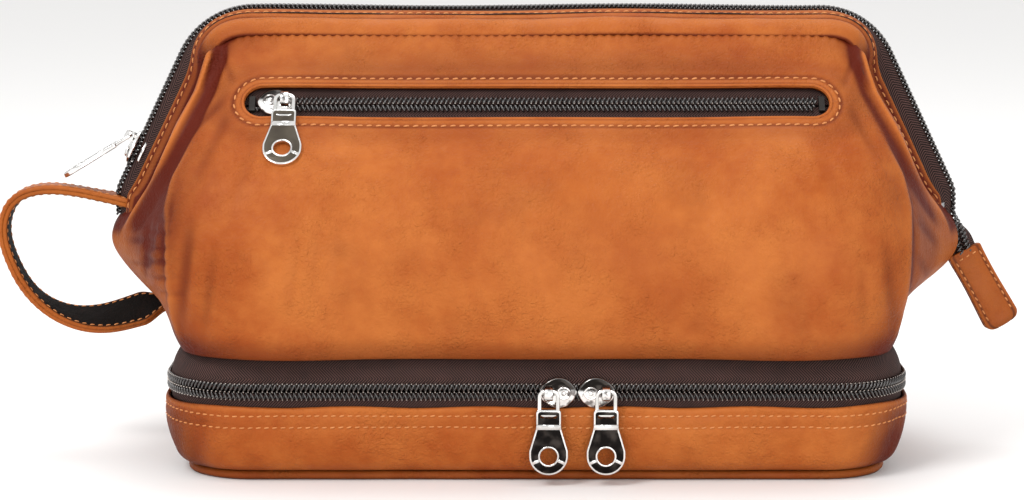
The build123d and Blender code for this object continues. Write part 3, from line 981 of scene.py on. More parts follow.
@dataclass(frozen=True)
class Coil:
    """One row of zip teeth: a thread of nylon wound round the tape's edge, a turn a tooth.

    Its middle lies off from the zip's middle line, and tall and wide are half its height and half its width.
    """

    off: float = 1.55
    tall: float = 1.05
    wide: float = 1.62
    pitch: float = 1.65
    thread: float = 0.42
    steps: int = 11
    sides: int = 5

    def wind(self, rail: Rail, start: float, end: float, out: float, side: float, tall: float, wide: float,
             phase: float, lean: float = 0.22) -> Shell:
        """The row along part of a rail: (out + tall cos a, side + wide sin a), a full turn a pitch.

        The thread's radius is first taken off tall and wide.

        Args:
            rail: what it follows.
            start: the length where it starts.
            end: the length where it ends.
            out: the row's middle, outwards from the rail.
            side: the row's middle, sideways from the rail.
            tall: half the row's height.
            wide: half the row's width, negative for the row that winds the other way.
            phase: the share of a pitch that the row is moved by.
            lean: the share of a pitch that the front of a turn leans by.

        Returns:
            The wound thread.
        """
        turns = int((end - start) / self.pitch)
        a = np.linspace(0.0, 2.0 * np.pi * turns, turns * self.steps + 1)
        at = start + self.pitch * (a / (2.0 * np.pi) + phase + lean * np.sin(a))
        swing = wide - math.copysign(self.thread, wide)
        line = rail.place(at, out + (tall - self.thread) * np.cos(a), side + swing * np.sin(a))
        return sweep(line, rail.way_at(at), circle(self.sides, self.thread, self.thread))

    def dots(self, rail: Rail, start: float, end: float, out: float, side: float = 0.0) -> Shell:
        """A row of pale short ovals along the middle where the two rows lock, one a tooth: painted glints of
        light on the teeth.
        """
        at = np.arange(start + 0.5, end - 0.5, 0.8)
        return stitches(rail.place(at, out, side), rail.outward_at(at), self.pitch, 0.30, 0.24, 0.0)


@dataclass
class BaseBox:
    """The base compartment: a leather wall on a rolled welt, its lining, and the zip round three sides."""

    half_length: float = 131.8
    half_depth: float = 62.0
    corner: float = 32.0
    wall_top: float = 27.5
    leather: float = 1.8
    zip_end: float = 44.0
    hinge_end: float = 97.6
    zip_height: float = 32.6
    stitch_pitch: float = 2.85
    stitch_heights: tuple[float, float] = (24.3, 20.2)
    tape_inset: float = 2.7
    teeth_inset: float = 1.55

    def __post_init__(self) -> None:
        """Lays the outline that every level of the base follows: a rounded rectangle, seen from above."""
        x, y, r = self.half_length, self.half_depth, self.corner
        flat = rounded([(x, y), (x, -y), (-x, -y), (-x, y)], [r] * 4, closed=True)
        flat = np.roll(flat, -int(np.argmin(np.abs(flat[:, 0]) - flat[:, 1])), axis=0)
        way = unit(np.roll(flat, -1, 0) - np.roll(flat, 1, 0))
        out = np.stack([way[:, 1], -way[:, 0], np.zeros(len(flat))], axis=1)
        out *= np.sign((out[:, :2] * flat).sum())
        up = np.broadcast_to(UPRIGHT, out.shape)
        self.rail = Rail(np.column_stack([flat, np.zeros(len(flat))]), out, up, closed=True)
        ahead = np.linspace(0.0, self.rail.length, 4001)
        line = self.rail.place(ahead, 0.0, 0.0)
        open_part = ahead[line[:, 1] < self.zip_end]
        self.zip_from, self.zip_to = float(open_part[0]), float(open_part[-1])
        taped = ahead[(line[:, 1] < 0.0) | (np.abs(line[:, 0]) > self.hinge_end)]
        self.tape_from, self.tape_to = float(taped[0]), float(taped[-1])

    def waves(self, at: Array, height: Array) -> Array:
        """Soft unevenness of the wall: sums of sines along it, larger half way up."""
        belly = np.sin(np.pi * clamp(height / self.wall_top))
        return belly * (0.55 * np.sin(at / 23.0) + 0.35 * np.sin(at / 9.7 + 1.3)
                        + 0.22 * np.sin(at / 5.1 + height / 6.0))

    def corner_folds(self, at: Array, height: Array, where: Array) -> Array:
        """Upright wrinkles at the rounded corners: cosines along the wall, strongest at the corners' middles.

        Args:
            at: lengths round the outline.
            height: heights.
            where: the points, in the bag's frame.

        Returns:
            Distances outwards.
        """
        near = hump(0.0, 20.0, np.hypot(np.abs(where[..., 0]) - 122.0, np.abs(where[..., 1]) - 54.0))
        lean = at + 0.35 * height
        ripple = np.cos(lean / 1.9) * 0.22 + np.cos(lean / 3.3 + 1.0) * 0.42
        return near * ripple * np.sin(np.pi * clamp(height / self.wall_top))

    def wall(self) -> Shell:
        """The wall. Its inset from the outline is a spline of the height, and waves and folds are added.

        Returns:
            The closed wall.
        """
        levels = np.array([27.4, 26.9, 25.4, 21.0, 14.6, 9.0, 5.7, 3.9, 3.4])
        insets = np.array([0.75, 0.25, 0.0, 0.1, 0.95, 2.5, 4.3, 6.9, 8.6])
        at = np.arange(0.0, self.rail.length, 1.05)
        order = np.linspace(0.0, 1.0, 40)
        steps = np.concatenate([[0.0], np.cumsum(np.hypot(np.diff(levels), np.diff(insets)))])
        profile = spline(steps / steps[-1], np.column_stack([levels, insets]), order)
        height, inset = profile[:, :1], profile[:, 1:]
        along = np.broadcast_to(at, (len(order), len(at)))
        flat = self.rail.place(along, 0.0, height)
        bulge = self.waves(along, height) + self.corner_folds(along, height, flat)
        high, low = self.stitch_heights
        seams = 0.30 * hump(high, 0.7, height) + 0.26 * hump(low, 0.7, height)
        edge = 0.30 * np.sin(along / 7.3) * ease(22.0, 27.4, height)
        points = self.rail.place(along, -inset + bulge - seams, height + edge)
        bent = ease(100.0, 127.0, np.abs(flat[..., 0])) * ease(66.0, 40.0, np.abs(flat[..., 1]) - 8.0)
        # darker towards the bottom, round the ends, at the top edge and in a band between the stitch rows
        burnish = (0.70 * ease(6.0, 1.0, height) + 0.90 * bent * (0.50 + 0.50 * ease(26.0, 12.0, height))
                   + 0.45 * ease(26.3, 27.6, height) + 0.16 * hump(22.2, 2.6, height))
        # painted highlights on the rolled top edge and on the wall's bulges
        rub = 0.55 * hump(26.6, 0.7, height) + 0.30 * clamp(bulge)
        fields = {"burnish": clamp(burnish), "rub": np.broadcast_to(rub, along.shape)}
        return Shell.grid(points, close_columns=True, fields=fields).thick(self.leather)

    def welt(self) -> Shell:
        """The roll under the wall: a tube of radius 1.6 carried round the outline, with a slight waver.

        Returns:
            The closed roll.
        """
        at = np.arange(0.0, self.rail.length, 1.3)
        line = self.rail.place(at, -9.4 + 0.12 * np.sin(at / 6.0), 1.62)
        shell = sweep(line, UPRIGHT, circle(12, 1.58, 1.58), closed=True)
        # painted shade on the roll's underside and a painted highlight along its top
        shell.fields = {"burnish": 0.35 + 0.4 * ease(1.4, -0.2, shell.points[:, 2]),
                        "rub": 0.25 * ease(1.4, 2.8, shell.points[:, 2])}
        return shell

    def bottom(self) -> Shell:
        """The leather underneath: rings from the welt's inside that shrink towards the middle line.

        Returns:
            The closed sheet.
        """
        at = np.arange(0.0, self.rail.length, 3.0)
        rim = self.rail.place(at, -12.3, 0.25)
        core = rim * [1.0, 0.0, 1.0]
        core[:, 0] = np.clip(core[:, 0], -70.0, 70.0)
        t = np.linspace(0.0, 1.0, 22)[:, None, None]
        points, t = mixed(rim, core, t), t[..., 0]
        points[..., 2] += 0.20 * np.sin(points[..., 0] / 17.0) * np.sin(points[..., 1] / 11.0) * t + 0.25 * t
        burnish = np.broadcast_to(0.45 - 0.3 * t, points.shape[:2])
        return Shell.grid(points, close_columns=True, fields={"burnish": burnish}).thick(1.3)

    def lining(self) -> Shell:
        """The cloth tub: floor rings, a wall with shallow tucks, and a lip turned out under the leather.

        Returns:
            The closed tub.
        """
        at = np.arange(0.0, self.rail.length, 2.0)
        levels = np.array([[60.0, 4.8], [40.0, 4.75], [22.0, 4.8], [13.2, 5.0], [11.6, 6.4],
                           [11.3, 12.0], [11.2, 22.0], [10.6, 26.4], [7.0, 27.0], [2.3, 27.15]])
        rows = []
        for inset, height in levels:
            line = self.rail.place(at, -min(inset, 30.0), height)
            if inset > 30.0:
                line[:, :2] *= np.array([0.62, 0.12]) if inset > 50.0 else np.array([0.86, 0.62])
            tuck = 0.35 * math.sin(math.pi * min(height / 27.0, 1.0)) * np.sin(at / 4.6)
            rows.append(line + self.rail.outward_at(at) * tuck[:, None])
        return Shell.grid(np.array(rows), close_columns=True).thick(-0.5)

    def band(self, low: float, high: float, turned: float = 0.0) -> Shell:
        """A zip tape: a strip on the outline between two heights, whose top turns inwards by turned.

        It lies 1.5 mm deeper round the rear corners, clear of the hinge's axis.

        Args:
            low: its lower edge.
            high: its upper edge.
            turned: how far its top turns in.

        Returns:
            The closed strip.
        """
        at = np.arange(self.tape_from, self.tape_to, 1.6)
        height = np.linspace(low, high, 9)[:, None]
        share = (height - low) / (high - low)
        lean = turned * share**2.2 + 0.14 * np.sin(at / 5.0)[None] * share
        lean = lean + 1.5 * ease(46.0, 58.0, self.rail.place(at, 0.0, 0.0)[:, 1])[None]
        return Shell.grid(self.rail.place(at[None], -self.tape_inset - lean, height)).thick(0.5)

    def teeth(self, lower: bool) -> Shell:
        """The row of teeth under or over the zip's middle line.

        Args:
            lower: whether it is the lower row.

        Returns:
            The wound row.
        """
        side = -1.0 if lower else 1.0
        height = self.zip_height + side * Coil.off
        return Coil().wind(self.rail, self.zip_from + 1.0, self.zip_to - 1.0, -self.teeth_inset, height,
                           Coil.tall, -side * Coil.wide, 0.0 if lower else 0.5)

    def dots(self) -> Shell:
        """Rows of painted glints over the joined teeth and along both their outer turns."""
        rows = [Coil().dots(self.rail, self.zip_from + 2.0, self.zip_to - 2.0, out, self.zip_height + side)
                for out, side in ((-0.74, 0.0), (-1.05, 2.75), (-1.05, -2.75))]
        return Shell.join(rows)

    def stitch_rows(self) -> Shell:
        """Two rows of stitches round the wall under its upper edge.

        Returns:
            The stitches.
        """
        rows = []
        skin = self.wall()
        for height in self.stitch_heights:
            at = np.arange(0.0, self.rail.length, 2.0)
            out = self.rail.outward_at(at)
            line = self.rail.place(at, 0.05, height + 0.12 * np.sin(at / 11.0))
            near, normal = skin.nearest(line)
            away = np.where((normal * out).sum(1, keepdims=True) > 0, normal, out)
            rows.append(stitches(near, away, self.stitch_pitch))
        return Shell.join(rows)

    def build(self) -> None:
        """Makes the base's pieces. The zip's upper half rides the upper body."""
        low, high = self.band(26.6, 31.9), self.band(33.3, 43.9, 3.4)
        add_piece("base_leather_wall", self.wall(), Finish.LEATHER, "base", "base_wall")
        add_piece("base_rolled_welt", self.welt(), Finish.WELT, "base", "base_bottom_welt")
        add_piece("base_leather_bottom", self.bottom(), Finish.LEATHER, "base", "base_bottom_panel")
        add_piece("base_cloth_tub", self.lining(), Finish.LINING, "base", "base_lining")
        add_piece("base_zip_lower_tape", low, Finish.TAPE, "base", "base_lower_tape")
        add_piece("base_zip_upper_tape", high, Finish.TAPE, "upper_body", "base_upper_tape")
        add_piece("base_zip_lower_teeth", self.teeth(True), Finish.TEETH, "base", "base_lower_coil")
        add_piece("base_zip_upper_teeth", self.teeth(False), Finish.TEETH, "upper_body", "base_upper_coil")
        add_piece("base_zip_dots", self.dots(), Finish.DOTS, "base")
        add_piece("base_wall_stitches", self.stitch_rows(), Finish.THREAD, "base")


@dataclass(frozen=True)
class Fold:
    """A crease or a ridge drawn on the front as a line from one place to another, in X and Z."""

    start: tuple[float, float]
    end: tuple[float, float]
    width: float
    depth: float

    def lift(self, x: Array, z: Array) -> Array:
        """Its height: -depth (1 - 1.2 d^2) exp(-d^2), with d the distance over the width, less at its ends.

        Args:
            x: places across the front.
            z: their heights.

        Returns:
            Distances outwards.
        """
        a, b = np.array(self.start), np.array(self.end)
        run = b - a
        t = ((x - a[0]) * run[0] + (z - a[1]) * run[1]) / (run @ run)
        held = clamp(t)
        d = np.hypot(x - a[0] - held * run[0], z - a[1] - held * run[1]) / self.width
        fade = np.sin(np.pi * np.clip(t, 0.04, 0.96)) ** 0.6
        return -self.depth * (1.0 - 1.2 * d**2) * np.exp(-(d**2)) * fade


# Where the leather lies at twelve levels, from the end seam to the middle, on the right of the front:
# seam, gusset, ridge, valley, soft corner, front corner, front, middle. Each is X, Y, Z in millimetres.
SKIN = (
    ((125.5, 0, 44.3), (125.5, -10, 44.3), (125.0, -22, 44.3), (123.5, -40, 44.3), (119.5, -52, 44.3),
     (106.0, -60.5, 44.3), (60, -61.2, 44.3), (0, -61.4, 44.3)),
    ((130.0, 0, 50.0), (129.6, -10, 50.0), (128.8, -22, 50.0), (127.0, -42, 50.0), (123.0, -55, 50.0),
     (109.0, -64.0, 50.0), (60, -65.3, 50.0), (0, -65.8, 50.0)),
    ((138.5, 0, 58.0), (137.5, -9, 58.0), (135.0, -20, 58.0), (130.5, -42, 58.0), (125.5, -57, 58.0),
     (111.5, -66.0, 58.0), (60, -67.6, 58.0), (0, -68.4, 58.0)),
    ((147.5, 0, 66.0), (146.3, -7, 66.0), (142.5, -17, 66.0), (134.0, -42, 66.0), (127.2, -58, 66.0),
     (113.0, -66.8, 66.0), (60, -68.6, 66.0), (0, -69.6, 66.0)),
    ((153.0, 0, 75.0), (152.6, -5, 74.5), (149.3, -12, 74.0), (136.5, -41, 74.0), (128.0, -58.5, 74.0),
     (114.0, -67.0, 74.0), (60, -68.8, 74.0), (0, -70.0, 74.0)),
    ((151.5, 0, 86.0), (150.8, -5, 85.0), (147.6, -13, 83.5), (136.0, -40, 84.0), (128.2, -57.5, 84.0),
     (114.0, -66.0, 84.0), (60, -67.8, 84.0), (0, -69.0, 84.0)),
    ((142.5, -4, 97.5), (139.0, -10, 97.0), (139.5, -21, 95.5), (133.0, -40, 95.5), (127.2, -54.5, 95.5),
     (113.2, -62.6, 95.5), (60, -64.4, 95.5), (0, -65.2, 95.5)),
    ((134.5, -9.5, 109.0), (127.0, -12, 109.0), (131.5, -25, 108.0), (128.5, -39, 108.0),
     (124.3, -49, 108.0), (111.0, -56.3, 108.0), (60, -57.8, 108.0), (0, -58.2, 108.0)),
    ((128.0, -10.5, 122.0), (117.5, -12, 122.0), (125.0, -26, 122.0), (123.6, -35, 122.0),
     (119.0, -41, 122.0), (107.5, -45.2, 122.0), (60, -45.9, 122.0), (0, -46.0, 122.0)),
    ((119.8, -9.5, 133.0), (112.5, -12.5, 133.5), (118.9, -23.5, 134.0), (117.8, -28.5, 134.0),
     (113.8, -32.5, 134.0), (104.5, -35.2, 134.0), (60, -35.6, 134.0), (0, -35.6, 134.0)),
    ((115.5, -9.5, 140.5), (112.0, -13.0, 142.5), (115.2, -19.5, 145.6), (112.8, -22, 146.0),
     (109.0, -24, 146.0), (101.5, -25.2, 146.0), (60, -25.4, 146.0), (0, -25.4, 146.0)),
    ((112.5, -10.5, 145.5), (113.2, -13.0, 148.5), (112.2, -15.4, 151.0), (109.0, -17.0, 152.6),
     (104.5, -18.4, 153.4), (98.5, -19.1, 153.7), (60, -19.3, 153.8), (0, -19.3, 153.8)),
)

# The pocket's flat facet: its middle, the way up it and the way out of it.
FACET_POINT: Spot = (0.0, -38.0, 131.0)
FACET_UP: Spot = (0.0, 0.6464, 0.7630)
FACET_OUT: Spot = (0.0, -0.7630, 0.6464)

# The front's creases and ridges: from X, Z, to X, Z, width and depth. First the pulls that run out from the
# pocket's ends, then the wrinkles low on the left and over the wings, then faint lines over the middle.
FOLD_LINES = (
    (-108, 133, -122, 120, 2.6, 0.55), (-107, 128, -118, 104, 3.2, 0.50), (108, 131, 118, 112, 2.8, 0.50),
    (107, 136, 113, 147, 2.0, 0.40), (-106, 137, -112, 148, 2.2, 0.45), (-96, 124, -104, 96, 4.0, 0.40),
    (-81, 88, -85, 56, 2.6, 0.45), (-74, 94, -77, 62, 3.0, 0.38), (-67, 90, -70, 66, 2.2, 0.28),
    (-118, 92, -123, 56, 3.4, 0.85), (-110, 84, -114, 54, 3.0, 0.55), (-130, 104, -137, 70, 2.4, 0.90),
    (-135, 97, -139, 66, 1.8, 0.80), (-126, 100, -130, 72, 2.6, 0.70), (-131, 84, -147, 80, 2.0, 0.70),
    (-132, 76, -146, 71, 1.8, 0.55), (118, 88, 123, 54, 3.6, 0.60), (110, 80, 112, 52, 3.0, 0.35),
    (131, 92, 143, 78, 2.6, 0.55), (130, 80, 140, 66, 2.2, 0.40), (96, 118, 104, 94, 5.0, 0.35),
    (-124, 88, -139, 86, 1.3, 0.55), (-125, 83, -138, 80, 1.2, 0.65), (-124, 78, -139, 76, 1.4, 0.60),
    (-123, 73, -136, 70, 1.3, 0.50), (-122, 67, -133, 66, 1.5, 0.45), (-127, 91, -136, 92, 1.2, 0.40),
    (8, 90, 22, 70, 2.4, 0.14), (30, 96, 18, 84, 2.0, 0.10), (-30, 110, 30, 106, 6.0, 0.20),
    (-60, 58, 60, 54, 5.0, 0.35),
)
FRONT_FOLDS = tuple(Fold((row[0], row[1]), (row[2], row[3]), row[4], row[5]) for row in FOLD_LINES)


@dataclass
class UpperBody:
    """The two leather panels, their linings, the floor between the compartments and the rear hinge."""

    leather: float = 1.8
    columns: int = 384
    rows: int = 118
    window_length: float = 204.0
    window_height: float = 13.0
    stitch_pitch: float = 3.2

    def skin(self, side: float, columns: int, rows: int) -> Array:
        """The smooth surface of one panel: a spline up the levels, then one from end seam to end seam.

        Args:
            side: -1 for the front, 1 for the back.
            columns: points from seam to seam.
            rows: points from the bottom to the mouth.

        Returns:
            Points of rows by columns.
        """
        right = np.array(SKIN, float)
        left = right[:, ::-1] * [-1.0, 1.0, 1.0]
        levels = np.concatenate([right, left[:, 1:]], axis=1)
        up = lengths(levels[:, 6]) + 1e-6 * np.arange(len(levels))
        fine = spline(up, levels, np.linspace(0.0, up[-1], rows))
        span = np.concatenate([[0.0], np.cumsum(np.linalg.norm(np.diff(levels, axis=1), axis=2).mean(0))])
        across = spline(span, np.swapaxes(fine, 0, 1), np.linspace(0.0, span[-1], columns))
        points = np.swapaxes(across, 0, 1)[:, ::-1]
        points[..., 1] *= -side
        x, z = points[..., 0], points[..., 2]
        points[..., 0] -= (3.6 * hump(60.0, 9.0, z) * ease(116.0, 136.0, x)
                           + 1.6 * hump(82.0, 9.0, z) * ease(118.0, 146.0, -x))
        points[..., 2] -= 1.4 * ease(50.0, 44.5, z) * ease(20.0, 50.0, np.abs(points[..., 1]))
        return points

    def facet(self, points: Array) -> tuple[Array, Array]:
        """Places on the pocket's facet: along it, and up it."""
        rel = points - FACET_POINT
        return rel[..., 0], rel @ FACET_UP

    def window_edge(self, x: Array, up: Array) -> Array:
        """Distance outside the pocket's window, a rectangle with round ends: negative inside it.

        Args:
            x: places along the facet.
            up: places up it.

        Returns:
            Distances.
        """
        half = 0.5 * self.window_height
        straight = 0.5 * self.window_length - half
        return np.hypot(np.maximum(np.abs(x) - straight, 0.0), up) - half

    def relief(self, points: Array, side: float) -> Array:
        """How far the leather stands from its smooth surface: folds, a slow sag, and the top seam's dimples.

        Args:
            points: the smooth surface.
            side: -1 for the front, 1 for the back.

        Returns:
            Distances outwards.
        """
        x, z = points[..., 0], points[..., 2]
        flip = 1.0 if side < 0 else -1.0
        lift = sum(fold.lift(flip * x, z) for fold in FRONT_FOLDS
                   if side < 0 or fold.start[1] < 120 or abs(fold.start[0]) > 60)
        slow = (0.55 * np.sin(x / 31.0 + 0.6) * np.sin(z / 19.0) + 0.30 * np.sin(x / 13.0 + z / 17.0)
                + 0.16 * np.sin(x / 6.1 - z / 9.0))
        calm = ease(150.0, 140.0, z) * ease(44.0, 52.0, z)
        top = np.linspace(0.0, 1.0, points.shape[0])[:, None]
        straight = ease(112.0, 100.0, np.abs(x))
        dimple = (0.35 * np.cos(x * 2.0 * np.pi / 3.2) * hump(1.0, 0.028, top)
                  - 0.5 * hump(1.0, 0.010, top)) * straight
        hem = -1.6 * hump(0.0, 0.010, top) + 0.5 * hump(0.06, 0.04, top)
        away = 1.0
        if side < 0:
            edge = self.window_edge(*self.facet(points))
            away = ease(1.0, 16.0, edge)
            lift = (lift + 0.10 * hump(1.6, 1.2, edge) - 0.26 * hump(3.6, 0.8, edge)
                    + 0.12 * hump(6.0, 2.4, edge))
        return lift * calm + slow * calm * away + dimple + hem + self.crease(points)

    def ridge(self, z: Array) -> tuple[Array, Array]:
        """The ridge's X and depth at a height, on either side."""
        levels = [74.0, 84.0, 95.5, 108.0, 122.0, 134.0, 146.0]
        return (np.interp(z, levels, [149.3, 147.6, 139.5, 131.8, 125.2, 119.0, 115.4]),
                np.interp(z, levels, [12.0, 13.0, 21.0, 25.0, 26.0, 23.5, 19.5]))

    def corner(self, z: Array) -> Array:
        """The front corner's X at a height."""
        return np.interp(z, [44.0, 50.0, 58.0, 96.0, 107.0, 118.5, 140.0],
                         [119.5, 123.5, 126.0, 127.6, 125.4, 120.5, 112.0])

    def crease(self, points: Array) -> Array:
        """The sharp ridge beside the mouth, the valley on its inner side, and the front corner's fold.

        Args:
            points: the smooth surface.

        Returns:
            Distances outwards.
        """
        x, y, z = (points[..., k] for k in range(3))
        ridge_x, ridge_y = self.ridge(z)
        out = np.abs(x) - ridge_x
        inner = ease(-4.0, 1.0, np.abs(y) - ridge_y)
        held = ease(80.0, 90.0, z) * ease(150.5, 145.0, z)
        left = ease(0.0, -60.0, x)
        crest = (0.9 + 0.5 * left) * hump(0.0, 1.25, out) - (0.4 + 1.0 * left) * hump(-4.2, 2.2, out) * inner
        fold = np.abs(x) - self.corner(z)
        side = ease(20.0, 36.0, np.abs(y)) * ease(47.0, 58.0, z) * ease(120.0, 104.0, z)
        return crest * held + side * (0.9 * hump(0.0, 1.5, fold) - 0.8 * hump(2.6, 1.6, fold))

    def shade(self, points: Array, side: float) -> dict[str, Array]:
        """Where the leather is darkened and where it is made paler. Painted shade lies in the valley and
        channel beside the ridge, the gusset's recess, under the mouth's roll, over the left wing, past the
        front corner's fold, in the folds' creases and round the pocket's window. The tone is darker towards
        the ends, the bottom, the lower corners and across the upper middle. Painted highlights lie on the
        ridge's and the corner's crests, the window's raised ring and the middle of the front.

        Args:
            points: the smooth surface.
            side: -1 for the front, 1 for the back.

        Returns:
            The two fields, from 0 to 1: the darkening (burnish and painted shade) and the lightening (rubbed
                edges and painted highlights).
        """
        x, y, z = (points[..., k] for k in range(3))
        flip = 1.0 if side < 0 else -1.0
        out = np.abs(x)
        gusset = ease(104.0, 122.0, out) * ease(30.0, 20.0, np.abs(y)) * ease(98.0, 112.0, z)
        valley = hump(0.0, 9.0, out - np.interp(z, [44, 60, 84, 108, 134, 150],
                                                [124, 130, 137, 129, 119, 109]))
        low = ease(56.0, 45.0, z)
        mouth = ease(143.0, 153.0, z) * 0.55
        wing_left = hump(0.0, 1.0, np.hypot((flip * x + 136.0) / 13.0, (z - 92.0) / 16.0))
        corner_low = hump(0.0, 1.0, np.hypot((out - 124.0) / 9.0, (z - 50.0) / 10.0))
        ridge_x, ridge_y = self.ridge(z)
        beside = out - ridge_x
        inner = ease(-3.0, 1.0, np.abs(y) - ridge_y)
        left = ease(0.0, -60.0, flip * x)
        held = ease(82.0, 92.0, z) * ease(152.0, 148.0, z)
        # painted shade: the valley just inside the ridge, and the channel behind it
        groove = ((0.55 + 0.75 * left) * hump(-3.6, 1.9, beside) * inner * held
                  + 1.2 * (1.0 - inner) * ease(78.0, 88.0, z))
        fold = out - self.corner(z)
        side_on = ease(20.0, 36.0, np.abs(y)) * ease(46.0, 56.0, z) * ease(122.0, 108.0, z)
        right = 0.30 + 0.70 * ease(-20.0, 60.0, flip * x)
        # painted shade just past the front corner's fold
        turn = side_on * right * (0.75 * hump(1.7, 1.1, fold) + 0.20 * ease(0.5, 3.0, fold))
        # painted shade in the creases, from the folds' dips
        lines = sum(shaded_fold.lift(flip * x, z) for shaded_fold in FRONT_FOLDS)
        # painted shade in the valley, the gusset's recess, under the mouth's roll and over the left wing; a
        # darker tone towards the ends, the bottom and the lower corners
        burnish = (0.26 * ease(88.0, 128.0, out) + 0.10 * valley * ease(60.0, 84.0, z) + 0.50 * low
                   + 0.95 * gusset + 0.4 * mouth + (0.12 + 0.48 * left) * wing_left + 0.30 * corner_low
                   + groove + turn + 0.45 * clamp(-lines))
        # painted highlight: a broad pale pool over the middle of the front
        rub = 0.40 * hump(0.0, 60.0, np.hypot(x - 20.0, (z - 88.0) * 1.6))
        burnish = burnish + 0.20 * ease(118.0, 132.0, z) * ease(110.0, 60.0, out) * ease(151.0, 146.0, z)
        if side < 0:
            along, up = self.facet(points)
            edge = self.window_edge(along, up)
            # painted shade at the window's edge and in the stitch groove round it
            burnish = (burnish + 0.85 * hump(0.2, 1.0, edge) + 0.50 * hump(3.8, 0.9, edge)
                       + 0.26 * hump(8.0, 5.0, edge))
            # painted highlight on the window's raised ring
            rub = rub + 0.45 * hump(2.1, 0.9, edge)
        # painted highlights on the ridge's crest and on the front corner's crest
        rub = rub + (0.9 * hump(0.2, 0.8, beside) * held + 0.5 * side_on * hump(-0.2, 0.9, fold))
        # the painted shade is lifted off the ridge's crest
        burnish = burnish * (1.0 - 0.8 * hump(0.2, 0.8, beside) * held * inner)
        return {"burnish": clamp(burnish), "rub": clamp(rub)}

    def panel(self, side: float) -> Shell:
        """One leather panel as an open surface, with the pocket's window left out of the front one.

        Args:
            side: -1 for the front, 1 for the back.

        Returns:
            The open surface.
        """
        points = self.skin(side, self.columns, self.rows)
        normal = Shell.grid(points).facing((0.0, side, 0.0)).normals().reshape(points.shape)
        fields = self.shade(points, side)
        raised = points + normal * self.relief(points, side)[..., None]
        shell = Shell.grid(raised, fields=fields).facing((0.0, side, 0.0))
        return self.open_window(shell) if side < 0 else shell

    def open_window(self, shell: Shell) -> Shell:
        """Leaves out the faces inside the pocket's window and draws the points along its edge onto it.

        Args:
            shell: the front panel.

        Returns:
            The panel without the window.
        """
        x, up = self.facet(shell.points)
        near = shell.points[:, 1] < 0.0
        edge = np.where(near, self.window_edge(x, up), 99.0)
        drop = edge[shell.faces[0]].mean(axis=1) < 0.0
        rim = np.intersect1d(shell.faces[0][drop], shell.faces[0][~drop])
        straight = 0.5 * (self.window_length - self.window_height)
        centre = np.clip(x[rim], -straight, straight)
        from_middle = np.stack([x[rim] - centre, up[rim]], axis=1)
        way = unit(from_middle)
        shift = way * (0.5 * self.window_height) - from_middle
        shell.points[rim] += shift[:, :1] * ACROSS + shift[:, 1:] * FACET_UP
        return shell.without(drop)

    def window_rail(self, grow: float) -> Rail:
        """A closed line round the pocket's window, grow outside its edge.

        Args:
            grow: how far outside the window's edge.

        Returns:
            The line.
        """
        half = 0.5 * self.window_height + grow
        long = 0.5 * self.window_length + grow
        flat = rounded([(-long, -half), (long, -half), (long, half), (-long, half)], [half - 0.001] * 4,
                       closed=True, step=0.8)
        points = np.array(FACET_POINT) + flat[:, :1] * ACROSS + flat[:, 1:] * FACET_UP
        out = np.broadcast_to(FACET_OUT, points.shape)
        way = unit(np.roll(points, -1, 0) - np.roll(points, 1, 0))
        return Rail(points, out, np.cross(way, out), closed=True)

    def lip(self, skin: Shell) -> Shell:
        """The window's folded edge: a half-round roll from the leather's face down to the tape.

        Args:
            skin: the front panel.

        Returns:
            The closed roll.
        """
        rail = self.window_rail(0.55)
        at = np.arange(0.0, rail.length, 0.9)
        near, normal = skin.nearest(rail.place(at, 0.0, 0.0))
        line = near - normal * 0.62
        lip = sweep(line, normal, circle(10, 0.85, 0.70), closed=True)
        lip.fields = {"burnish": np.full(len(lip.points), 0.12), "rub": np.full(len(lip.points), 0.30)}
        return lip

    def window_stitches(self, skin: Shell) -> Shell:
        """The row of stitches round the pocket's window.

        Args:
            skin: the front panel.

        Returns:
            The stitches.
        """
        rail = self.window_rail(3.6)
        at = np.arange(0.0, rail.length, 1.6)
        line, normal = skin.nearest(rail.place(at, 0.0, 0.0))
        return stitches(line, normal, self.stitch_pitch, radius=0.36)

    def lining(self, side: float) -> Shell:
        """The cloth behind a panel: the surface further in, pushed in behind the pocket, with loose tucks.

        Args:
            side: -1 for the front, 1 for the back.

        Returns:
            The closed cloth.
        """
        points = self.skin(side, 190, 62)
        normal = Shell.grid(points).facing((0.0, side, 0.0)).normals().reshape(points.shape)
        x, z = points[..., 0], points[..., 2]
        tucks = 0.5 * np.sin(x / 8.0 + z / 21.0) * ease(50.0, 70.0, z) * ease(150.0, 135.0, z)
        room = 0.0
        if side < 0:
            along, up = self.facet(points)
            room = 8.6 * ease(122.0, 104.0, np.abs(along)) * ease(-46.0, -30.0, up) * ease(26.0, 12.0, up)
        beside = ease(60.0, 110.0, np.abs(x)) * ease(118.0, 132.0, z)
        far = 1.0 - ease(76.0, 86.0, z) * (1.0 - ease(0.0, 7.0, np.abs(points[..., 1]) - self.ridge(z)[1]))
        inset = 2.3 + (0.6 + 0.6 * tucks + room + 1.4 * beside) * far
        shell = Shell.grid(points - normal * inset[..., None])
        hidden = shell.points[shell.faces[0]][..., 2].mean(1) < 48.0
        return shell.without(hidden).facing((0.0, side, 0.0)).thick(0.5)

